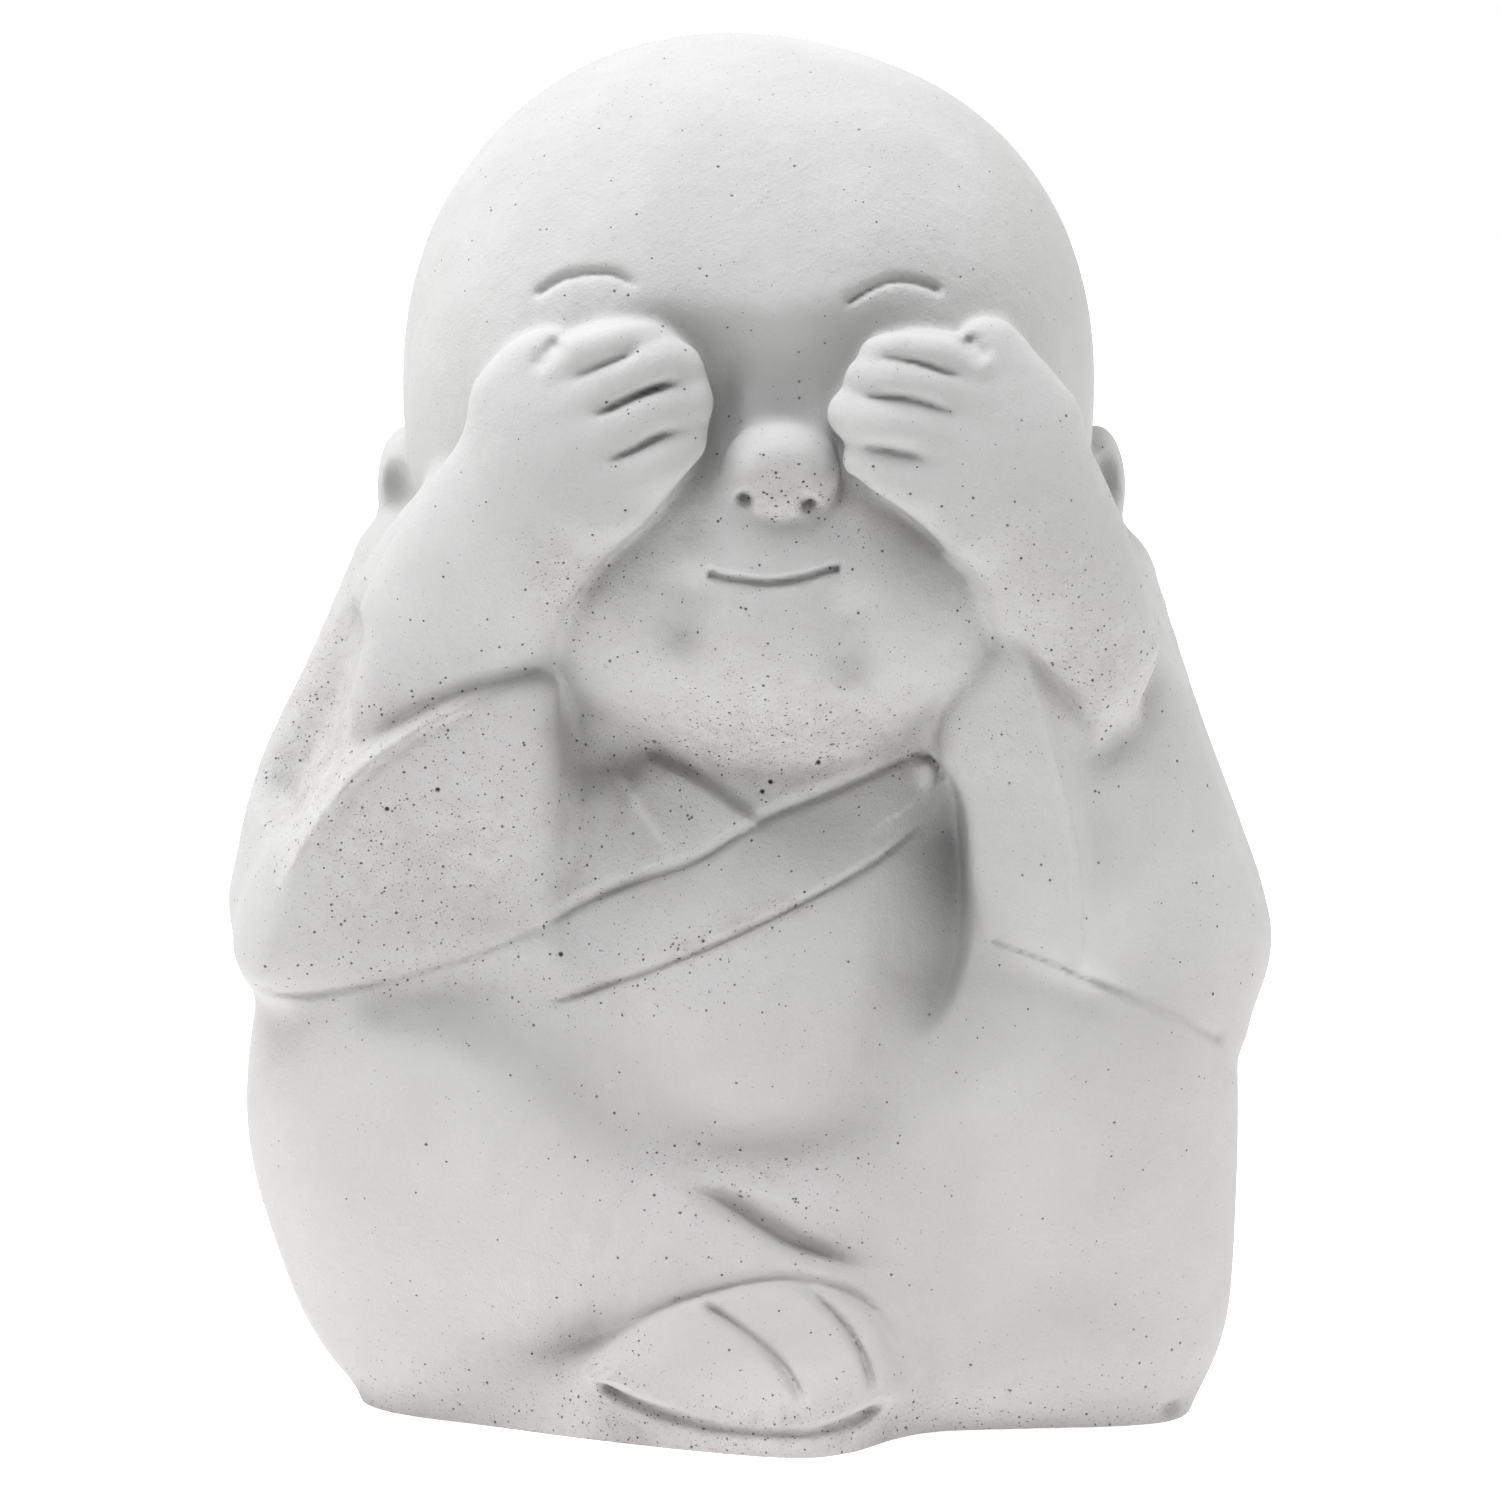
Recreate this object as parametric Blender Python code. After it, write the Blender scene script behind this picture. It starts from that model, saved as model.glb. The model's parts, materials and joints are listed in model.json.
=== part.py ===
"""A small cast concrete statue of a seated little monk who covers both eyes with the hands.

It is one solid casting. Its rounded forms are ellipsoids, limbs and cushions that flow into each
other, given as distances from their surfaces, with the carved lines cut into the sum.
"""

import itertools
import math
from collections import namedtuple

import bmesh
import bpy
import numpy as np

# Height from the flat underside to the crown, in metres. All of the figure follows it.
HEIGHT = 0.090

# Cast concrete
CONCRETE_COLOUR = (0.60, 0.60, 0.59, 1)
CONCRETE_ROUGHNESS = 0.9

# How finely the forms are read, in hundredths of the height, and the faces that are kept
GRID_STEP = 0.6
KEPT_FACES = 9000

# Every place and size below is in hundredths of the height. X runs across to the viewer's right,
# Y away from the viewer, and Z up from the underside.
# Left and right are the viewer's, and a pair (across, up) is a place as the front view shows it.
VIEW_AIM = 47.9
VIEW_DISTANCE = 600
VIEW_ANGLE = math.radians(5)

Ball = namedtuple("Ball", "middle half blend power hollow", defaults=(2.0, 2.0, False))
Limb = namedtuple("Limb", "nodes blend flatness hollow", defaults=(2.0, 1.0, False))
Cushion = namedtuple("Cushion", "outline depth front back edge blend", defaults=(1.0,))
Slope = namedtuple("Slope", "depth across up")
Ridge = namedtuple("Ridge", "line depth up left right bend")
Plate = namedtuple("Plate", "outline top edge blend")
Slice = namedtuple("Slice", "middle across up blend hollow", defaults=(True,))
Group = namedtuple("Group", "forms blend")
Groove = namedtuple("Groove", "line depth cut left right fade", defaults=(0.12,))
Ledge = namedtuple("Ledge", "line depth rise width reach fade", defaults=(0.1,))


def seen(across, up, depth):
    """The point at this depth that the front view, from a little above, shows at (across, up)."""
    slant = (up - VIEW_AIM) / VIEW_DISTANCE
    away = (VIEW_DISTANCE + depth / math.cos(VIEW_ANGLE)) / (1 + slant * math.tan(VIEW_ANGLE))
    height = (slant * away - depth * math.sin(VIEW_ANGLE)) / math.cos(VIEW_ANGLE)
    return across * away / VIEW_DISTANCE, depth, VIEW_AIM + height


# Head: the skull, the jaw with its two cheeks, the eye hollows behind the hands, and the nose
SKULL = Ball((-0.1, 0, 74.6), (25.1, 24.4, 24.8), power=2.2)
CROWN = Ball((-2.2, 0, 84), (17, 19, 15.2), blend=3)
JAW = Ball(seen(2.1, 58.9, -8.5), (16.4, 15, 12), blend=6)
LEFT_CHEEK = Ball(seen(-8.9, 58.9, -14.5), (7, 7.2, 6.6), blend=4)
RIGHT_CHEEK = Ball(seen(12.8, 59.2, -14.5), (7, 7.2, 6.6), blend=4)
LEFT_SOCKET = Ball(seen(-5.3, 73.3, -26.2), (7.4, 4.8, 5.8), blend=3, hollow=True)
RIGHT_SOCKET = Ball(seen(9.6, 73.8, -26.2), (7.4, 4.8, 6), blend=3, hollow=True)
LEFT_CORNER = Ball(seen(-2, 72.2, -24.5), (1.7, 4.6, 4.2), blend=1.5, hollow=True)
RIGHT_CORNER = Ball(seen(6.7, 70.6, -24.5), (1.1, 3.6, 4.4), blend=1.2, hollow=True)
MUZZLE = Ball(seen(1.7, 59.8, -19.4), (7.8, 4.4, 5.6), blend=4)
BRIDGE_HOLLOW = Ball(seen(2.2, 73.6, -28), (6.5, 5.4, 4.2), blend=4, hollow=True)
NOSE_BALL = Ball(seen(2.2, 68.3, -22.4), (4.2, 4.6, 3.4))
NOSE_FRONT = Slice(seen(2.2, 67.1, -26.2), across=0.05, up=-0.28, blend=0.8)
NOSE = Group((NOSE_BALL, NOSE_FRONT), blend=0.7)
LEFT_EAR = Ball(seen(-25.2, 67.1, 4), (2, 4.5, 4.4), blend=0.8)
RIGHT_EAR = Ball(seen(25.3, 67.1, 4), (2.1, 4.5, 4.5), blend=0.8)
LEFT_EAR_HOLE = Ball(seen(-26, 66.6, 0.2), (1.3, 1.7, 2.2), blend=0.8, hollow=True)
RIGHT_EAR_HOLE = Ball(seen(26.1, 67.5, 0.2), (1.3, 1.7, 2.2), blend=0.8, hollow=True)
CHEEKS = (LEFT_CHEEK, RIGHT_CHEEK)
SOCKETS = (LEFT_SOCKET, RIGHT_SOCKET)
CORNERS = (LEFT_CORNER, RIGHT_CORNER)
FACE = (JAW, *CHEEKS, *SOCKETS, MUZZLE, BRIDGE_HOLLOW, *CORNERS, NOSE)
EARS = (LEFT_EAR, RIGHT_EAR, LEFT_EAR_HOLE, RIGHT_EAR_HOLE)
HEAD = Group((SKULL, CROWN, *FACE, *EARS), blend=1.2)

# Trunk: the robed back and shoulders, the chest and the belly
BACK = Ball((0, 5, 34), (25, 17, 33))
SHOULDERS = Ball((0, 5, 51), (27, 14.5, 13), blend=6)
NECK = Ball((0, -4, 55.5), (25, 10, 5), blend=2, power=3)
CHEST = Ball(seen(1.5, 44.3, -1.5), (17.5, 14, 15), power=2.4)
BELLY = Ball(seen(-0.1, 31.5, -4.5), (14, 14.8, 13.5), blend=6, power=2.2)
SLEEVE_GAP = Limb(
    (
        ((14.6, 45.9), -18, 1.4),
        ((15.2, 40.6), -19, 3.5),
        ((14.9, 34.8), -19, 4.2),
        ((13.5, 29.7), -18.5, 3.4),
        ((10.9, 26), -17, 1.2),
    ),
    blend=3,
    flatness=1.3,
    hollow=True,
)
LEFT_FOLD = Ball(seen(-12.2, 40.5, -8), (5, 7.5, 14), blend=3)
ARMPIT = Ball(seen(-9.8, 47.4, -17.5), (4.4, 4, 1.6), blend=2.4, hollow=True)
TRUNK = Group((BACK, SHOULDERS, NECK, Group((CHEST, BELLY), blend=2), LEFT_FOLD, SLEEVE_GAP, ARMPIT), blend=2)

# Crossed legs under the robe, and the right thigh, whose hem lies over the shins
LEFT_LEG = Ball((-20.7, -1, 25), (15.3, 16, 26.5), power=2.25)
LEFT_SHIN = Limb(
    (
        ((-24.8, 21.8), -6, 9.6),
        ((-16.8, 17.1), -9.5, 9.2),
        ((-8, 12.5), -13.5, 6.8),
        ((-2.2, 10.1), -15.5, 5.2),
        ((3.6, 7.8), -16, 4.5),
    ),
    blend=6,
    flatness=0.9,
)
LAP = Ball(seen(0.7, 16.2, -3.6), (12.5, 12.6, 8.6), blend=4)
LAP_VALLEY = Limb(
    (
        ((-25.9, 29.7), -16, 1.5),
        ((-20.4, 29.5), -16.6, 2.7),
        ((-15, 27.5), -18, 3.2),
        ((-10.2, 23.1), -18.6, 2.3),
        ((-5.8, 19.5), -18, 1),
    ),
    blend=3,
    hollow=True,
)
SEAT = Ball((1.5, 5.5, 9), (27.5, 18.5, 22), blend=4, power=2.6)
RIGHT_LEG = Ball((17.6, -0.5, 20), (17.5, 14, 24), blend=3, power=3.2)
RIGHT_SHIN = Limb(
    (((24.1, 8.5), -6.5, 8.5), ((15.3, 6), -11.5, 6.5), ((5.8, 4.9), -14, 5)),
    blend=5,
    flatness=0.9,
)
RIGHT_KNEE = Ball(seen(23.7, 21.7, -4), (11, 14, 14.5), power=2.8)
HEM_OUTLINE = (
    (-6, 16.3),
    (-2.2, 14.9),
    (0.7, 13.4),
    (5.1, 11),
    (8.8, 9.5),
    (13.9, 9.1),
    (19, 10.4),
    (24.8, 13.6),
    (27, 18.7),
    (22.6, 23.8),
    (15.3, 23.1),
    (8, 19.5),
    (0.7, 17.3),
)
RIGHT_THIGH = Cushion(HEM_OUTLINE, -18, Slope(-18.2, 0.15, 0.1), back=-4, edge=6, blend=5)
LEGS = Group(
    (
        LEFT_LEG,
        LEFT_SHIN,
        LAP,
        LAP_VALLEY,
        SEAT,
        RIGHT_LEG,
        RIGHT_SHIN,
        Group((RIGHT_KNEE, RIGHT_THIGH), blend=2.6),
    ),
    blend=2,
)

# Flat underside: its corners as (across, depth), and how high the straight edge stands
FOOTPRINT = (
    (-28, 2.5),
    (-25, -6),
    (-12.5, -17),
    (1, -25),
    (6.5, -24),
    (10.5, -17.5),
    (15, -12),
    (27, -11.3),
    (31, -6),
    (31, 10),
    (24, 19),
    (0, 21.5),
    (-22, 18),
)
UNDERSIDE = Plate(FOOTPRINT, top=5.5, edge=3, blend=2.5)

CORNER_CHIP = Ball(seen(31.4, -0.5, -12), (1.5, 3, 0.8), blend=0.5, hollow=True)

FOOT_OUTLINE = (
    (-12.1, 1.7),
    (-10.9, 3.3),
    (-7.7, 6.2),
    (-3.6, 8.1),
    (2.2, 8.8),
    (7.3, 7.6),
    (10.1, 4.5),
    (10.7, 0.6),
    (7.3, -0.8),
    (2.9, -1.6),
    (-2.2, -1.4),
    (-7.3, -0.2),
)
FOOT = Cushion(FOOT_OUTLINE, -21, Slope(-22.2, 0, 0.35), back=-6, edge=4, blend=2)

# Left arm: the sleeve round the upper arm, the bare forearm and the sleeve's open end
LEFT_UPPER_ARM = Limb(
    (((-23.9, 60.7), 4, 5.3), ((-26.3, 52.3), 3, 6.4), ((-29.2, 44.3), 0, 7.1), ((-31.2, 37), -4, 6.8)),
    flatness=1.5,
)
LEFT_FOREARM = Limb(
    (
        ((-23.7, 46.5), -12.5, 6.8),
        ((-22.5, 53), -15.2, 7.1),
        ((-20.1, 59.2), -18, 7),
        ((-14, 68.4), -22.6, 6.6),
        ((-10.9, 71.7), -23, 5.6),
    ),
    blend=1.6,
    flatness=0.66,
)
LEFT_RIM = (
    (-35.6, 32.5),
    (-33.6, 37),
    (-31.8, 40.6),
    (-30.3, 43.4),
    (-27.7, 46.5),
    (-24.1, 49.4),
    (-19.7, 51.9),
    (-15, 53.9),
)
LEFT_SLEEVE_OUTLINE = (
    (-37.7, 34.8),
    (-37.4, 32),
    (-35.6, 30),
    (-29.9, 30.3),
    (-22.6, 32),
    (-15, 34.9),
    (-13.4, 37.7),
    (-13.1, 44.3),
    (-13.6, 51.1),
    (-15.1, 54.5),
    (-19.7, 53.8),
    (-25.5, 50.5),
    (-31.4, 46.5),
    (-35.6, 40.6),
)
LEFT_SLEEVE = Cushion(
    LEFT_SLEEVE_OUTLINE,
    -12,
    Ridge(LEFT_RIM, depth=-5.9, up=-0.3, left=0.6, right=0.18, bend=0.6),
    back=-2,
    edge=4.4,
)
LEFT_HAND_OUTLINE = (
    (-19.9, 74.1),
    (-18.8, 76),
    (-17.4, 77.4),
    (-15.8, 78.2),
    (-14.6, 78.2),
    (-14, 77.6),
    (-12.8, 77.5),
    (-10.8, 78.4),
    (-9, 78.8),
    (-7.3, 78.7),
    (-5.8, 78.1),
    (-4.3, 76.9),
    (-3.4, 75.3),
    (-3, 73.5),
    (-3.3, 71.4),
    (-3.9, 69.8),
    (-5.7, 67.3),
    (-7.3, 65.6),
    (-8.8, 64.3),
    (-10.9, 64.7),
    (-15, 67.6),
    (-19, 71.7),
)
LEFT_PALM = Cushion(LEFT_HAND_OUTLINE, -25, Slope(-25.8, -0.13, 0.03), back=-13, edge=2, blend=3.5)
LEFT_INDEX = Limb(
    (
        ((-14.2, 75.8), -25.3, 1.1), ((-12, 77.1), -26, 1.1), ((-9.6, 77.6), -26.2, 1.1),
        ((-7.8, 77.8), -25.5, 1),
    ),
    blend=1.5,
)
LEFT_MIDDLE = Limb(
    (
        ((-12.6, 73.6), -25.5, 1.4), ((-9.6, 74.9), -26.1, 1.6), ((-6.9, 76), -26.3, 1.6),
        ((-5.1, 75.9), -25.5, 1.3),
    ),
    blend=0.5,
)
LEFT_RING = Limb(
    (
        ((-11.8, 70.5), -25.5, 1.6), ((-9.3, 71.5), -25.9, 1.8), ((-6.9, 72.7), -26.3, 1.8),
        ((-4.5, 73.3), -25.7, 1.4),
    ),
    blend=0.5,
)
LEFT_LITTLE = Limb(
    (
        ((-10.9, 67.4), -25.3, 1.6), ((-8.4, 68.1), -25.7, 1.8), ((-6.2, 69.2), -26.1, 1.8),
        ((-4.5, 70), -25.5, 1.3),
    ),
    blend=0.5,
)
LEFT_FINGERS = Group((LEFT_INDEX, LEFT_MIDDLE, LEFT_RING, LEFT_LITTLE), blend=1.2)
LEFT_ARM = Group((LEFT_FOREARM, LEFT_PALM, LEFT_FINGERS), blend=0.8)
LEFT_WEB = Limb((((-25.5, 51.6), -5, 6), ((-22.6, 58.9), -8, 6), ((-19.3, 64.7), -12, 5)), blend=3)
LEFT_DRAPE = Group((LEFT_UPPER_ARM, LEFT_WEB, LEFT_SLEEVE), blend=2.5)

# Right arm, whose sleeve has slipped down to a crest below the forearm
RIGHT_UPPER_ARM = Limb(
    (((24.2, 59.6), 4, 5.6), ((26.2, 49), 3, 6.9), ((29.3, 38.4), 0, 7.6), ((30.3, 34.4), -3, 7.6)),
    flatness=1.5,
)
RIGHT_FOREARM = Limb(
    (
        ((25.8, 51.6), -16.4, 3.4),
        ((24.7, 55.4), -17.8, 5),
        ((21.2, 62.9), -20.8, 6),
        ((17.9, 69), -23, 6.1),
        ((15.7, 71.3), -23.2, 5.4),
    ),
    blend=1,
    flatness=0.66,
)
RIGHT_CREST = (
    (19.1, 58.9),
    (20.4, 54.5),
    (22, 48.7),
    (23.5, 42.7),
    (24.2, 37),
    (24.1, 29.7),
)
RIGHT_SLEEVE_OUTLINE = (
    (19, 58),
    (22.6, 60),
    (27, 58.1),
    (30.7, 54.5),
    (33.2, 48.7),
    (35.9, 40.6),
    (37.5, 34.1),
    (36.8, 29),
    (34.7, 26.2),
    (26.3, 30.7),
    (18.2, 33.9),
    (15.8, 38.4),
    (15.3, 44.3),
    (13.7, 48.3),
    (14.5, 52.3),
    (17.2, 56),
)
RIGHT_SLEEVE = Cushion(
    RIGHT_SLEEVE_OUTLINE,
    -12,
    Ridge(RIGHT_CREST, depth=-14.3, up=-0.13, left=0.7, right=0.3, bend=0.2),
    back=-2,
    edge=2.6,
    blend=2,
)
RIGHT_HAND_OUTLINE = (
    (8.2, 76.6),
    (9.3, 77.8),
    (10.4, 78.1),
    (12.5, 78.2),
    (14.2, 77.9),
    (15.5, 77.7),
    (16, 78.4),
    (16.6, 79),
    (17.4, 79.2),
    (18.6, 79),
    (19.6, 78.1),
    (20.5, 76.5),
    (22, 74.3),
    (23.1, 72.4),
    (21.5, 69.8),
    (19, 66.2),
    (15.7, 62.9),
    (14.7, 63.5),
    (13.2, 64.7),
    (11.3, 65.8),
    (9.6, 67.1),
    (8.6, 67.9),
    (7.6, 69.2),
    (7.2, 70.2),
    (6.3, 71.5),
    (6.1, 72.6),
    (6.6, 73.9),
    (7.5, 75.2),
)
RIGHT_PALM = Cushion(RIGHT_HAND_OUTLINE, -25, Slope(-25.8, 0.13, 0.03), back=-13, edge=2, blend=3.5)
RIGHT_INDEX = Limb(
    (
        ((9.1, 76.9), -25.3, 0.9), ((10.9, 77.1), -26.2, 1.1), ((13.5, 76.8), -26.3, 1.1),
        ((16.4, 75.9), -25.7, 1.1),
    ),
    blend=1.5,
)
RIGHT_MIDDLE = Limb(
    (
        ((8.2, 75.1), -25.5, 1.1), ((9.9, 75), -26.3, 1.4), ((12.8, 74.6), -26.4, 1.4),
        ((16.1, 73.5), -25.7, 1.4),
    ),
    blend=0.5,
)
RIGHT_RING = Limb(
    (
        ((7.2, 72.5), -25.5, 1.3), ((9.1, 71.9), -26.1, 1.8), ((12, 71.5), -26.1, 1.8),
        ((15.3, 70.6), -25.3, 1.7),
    ),
    blend=0.5,
)
RIGHT_LITTLE = Limb(
    (
        ((8, 68.9), -25.5, 1.2), ((10.2, 68), -25.7, 1.7), ((12.8, 67.2), -25.7, 1.7),
        ((15.3, 66.5), -24.9, 1.6),
    ),
    blend=0.5,
)
RIGHT_FINGERS = Group((RIGHT_INDEX, RIGHT_MIDDLE, RIGHT_RING, RIGHT_LITTLE), blend=1.2)
RIGHT_ARM = Group((RIGHT_FOREARM, RIGHT_PALM, RIGHT_FINGERS), blend=0.8)
RIGHT_WEB = Limb((((25.5, 51.6), -5, 6), ((22.6, 58.9), -8, 6), ((19, 64.7), -12, 5)), blend=3)
RIGHT_DRAPE = Group((RIGHT_UPPER_ARM, RIGHT_WEB, RIGHT_SLEEVE), blend=2.5)

SEATED = Group((LEGS, UNDERSIDE, CORNER_CHIP), blend=3)
FIGURE = Group((TRUNK, SEATED, FOOT, LEFT_DRAPE, RIGHT_DRAPE, HEAD, LEFT_ARM, RIGHT_ARM), blend=0)

# Carved lines. A groove has its own width on each side of its line, the soft side first for a line
# that runs to the right. A ledge raises the ground on the line's left as the front view shows it.
MOUTH = ((-3.2, 61), (-2.2, 60.7), (-0.7, 60.5), (1.3, 60.3), (3.6, 60.6), (5.5, 61.1), (6.8, 61.2))
LEFT_BROW = (
    (-16.1, 80.6), (-14.8, 81.5), (-13.6, 82.2), (-12.2, 82.5), (-10.9, 82.6), (-9.6, 82.4),
    (-8, 81.5),
)
RIGHT_BROW = ((6.7, 80.3), (7.9, 81), (9.2, 81.7), (10.6, 82.1), (11.8, 82), (13.1, 81.6), (14.2, 81))
LAPEL_TOP = (
    (13.9, 48.3),
    (9.5, 46.3),
    (5.1, 44.5),
    (0.7, 42.7),
    (-3.6, 40),
    (-8, 38.4),
    (-11.7, 36.9),
    (-15.9, 34.5),
)
LAPEL_FOOT = ((-16.4, 28.8), (-10.9, 30.4), (-3.6, 33.3), (3.6, 36.6), (9.5, 39.7), (14.2, 43.4))
COLLAR = ((1.1, 42.5), (-1.1, 44), (-3.6, 45.7), (-8, 47.7))
INNER_FOLD = ((-10.2, 46.6), (-8.2, 43.8), (-5.5, 40))
RIM_CREVICE = (
    (-15, 55.4), (-16.7, 54.1), (-19.2, 53.6), (-21.7, 52.5), (-24.3, 51.1), (-26.4, 49.6),
    (-28.3, 47.9),
)
RIM_RIDGE = (
    (-17.9, 52.6),
    (-22.1, 50.9),
    (-25, 49.3),
    (-27.4, 47.6),
    (-29.3, 45.8),
    (-31.5, 42.7),
    (-32.8, 40.6),
    (-35, 36.3),
)
LEFT_CREASE = ((-36.5, 30), (-33.6, 29.8), (-29.9, 30.2), (-22.6, 32.1), (-18.2, 33.6), (-14.7, 35.2))
RIGHT_CREASE = ((17.2, 34.2), (21.9, 32.7), (26.3, 30.7), (30.7, 28.4), (35, 25.9))
TOES = (
    ((-3.6, 7.2), (-1.1, 5.6), (1.1, 4), (2.9, 2.1), (4.1, 0.3)),
    ((3.3, 8.5), (5.5, 6.9), (7.3, 4.9), (8.5, 2.7), (9, 0.5)),
)
SOLE = (
    (-12, 1.7),
    (-9.5, 0.3),
    (-5.8, -0.8),
    (-2.2, -1.5),
    (3.6, -1.6),
    (8, -0.8),
    (10.4, 0.3),
)
FINGER_GAPS = (
    (((-13.4, 74.6), (-11.7, 75.5), (-9.9, 76.3), (-7.7, 77.1)), 0.35),
    (((-12, 72), (-10.4, 72.7), (-8, 73.8), (-5.7, 74.6), (-4.8, 74.7)), 0.8),
    (((-10.9, 68.9), (-8.6, 69.7), (-6.9, 70.6), (-5.1, 71.4)), 0.6),
    (((8.8, 76.3), (10.6, 76.5), (12.3, 76.2), (14.1, 75.5), (16.1, 74.9)), 0.35),
    (((7.7, 73.6), (9.2, 73.7), (11.5, 73.6), (13.4, 73), (15.8, 72.2)), 0.35),
    (((7.7, 70.3), (9.2, 70), (10.6, 69.7), (13.1, 69.1)), 0.35),
)
THUMB_NOTCHES = (((-13.6, 78), (-14.5, 77), (-16.1, 75.4)), ((15.8, 78.3), (16.4, 77.1), (17.4, 76.1)))
SMILE_LINES = (
    ((-2.6, 62.1), (-3.4, 60.5), (-4, 58.6), (-4.5, 56.4), (-4.9, 53.9)),
    ((6.6, 61.1), (7.2, 58.7), (7.5, 56.4), (7.7, 54.1), (7.4, 51.6)),
)
NOSTRILS = (((-0.8, 66.8), (-0.3, 66.3), (0.4, 66.1)), ((3.4, 65.9), (4.2, 65.9), (4.7, 66.4)))
HEM_LINE = (
    (-6.9, 16.7),
    (-3.6, 15.6),
    (-0.4, 13.9),
    (2.9, 11.9),
    (6.6, 10.6),
    (10.4, 9.8),
)
GAP_LINE = ((12.8, 46.6), (14.5, 45), (15.1, 41.4), (15.4, 37), (15.1, 32.6), (13.7, 29), (10.9, 26.2))
DRAPE_LINE = ((-29.1, 58.9), (-29.6, 55.6), (-30.7, 51.6), (-32.1, 47.9), (-33.6, 45.2), (-35.3, 41.8))
ARM_LINE = ((-13.9, 53), (-12.9, 48.7), (-12.5, 44.3), (-12.8, 39.9), (-14.2, 35.9))
LEFT_HAND_EDGE = (
    (-2.8, 73.5), (-3, 70.6), (-4.7, 67.8), (-7.2, 64.9), (-10.1, 62.1), (-12.8, 58.9),
    (-14.2, 55.6),
)
RIGHT_HAND_EDGE = ((6.4, 70.6), (8.2, 67.5), (10.9, 65.3), (13.9, 63), (16.4, 60.5), (18.2, 57.3))
FOOT_EDGE = (
    (-11.4, 2.8),
    (-8, 6.2),
    (-3.6, 8.3),
    (2.2, 9.2),
    (7.3, 8),
    (10.1, 5),
    (10.9, 1.1),
)
ELBOW_LINE = (
    (18.8, 58.3),
    (19.9, 56.5),
    (21.2, 54.2),
    (23.2, 51.9),
    (24.7, 48.8),
)
ELBOW_FOOT = ((23.4, 50.8), (25.3, 47.8), (27.3, 49.5), (28.9, 52.3), (29.9, 56))
CREST_VALLEY = ((21.5, 53), (23.2, 47.2), (24.6, 42.1), (25.3, 36.3))
BLEMISH_RIM = ((11.9, 47.3), (12.7, 47.4), (13.4, 47.1), (13.9, 46.4), (13.9, 45.7), (13.6, 45))
BLEMISH = ((12.3, 47.1), (12.8, 46.5), (13.1, 45.7), (13.1, 44.9))
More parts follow.
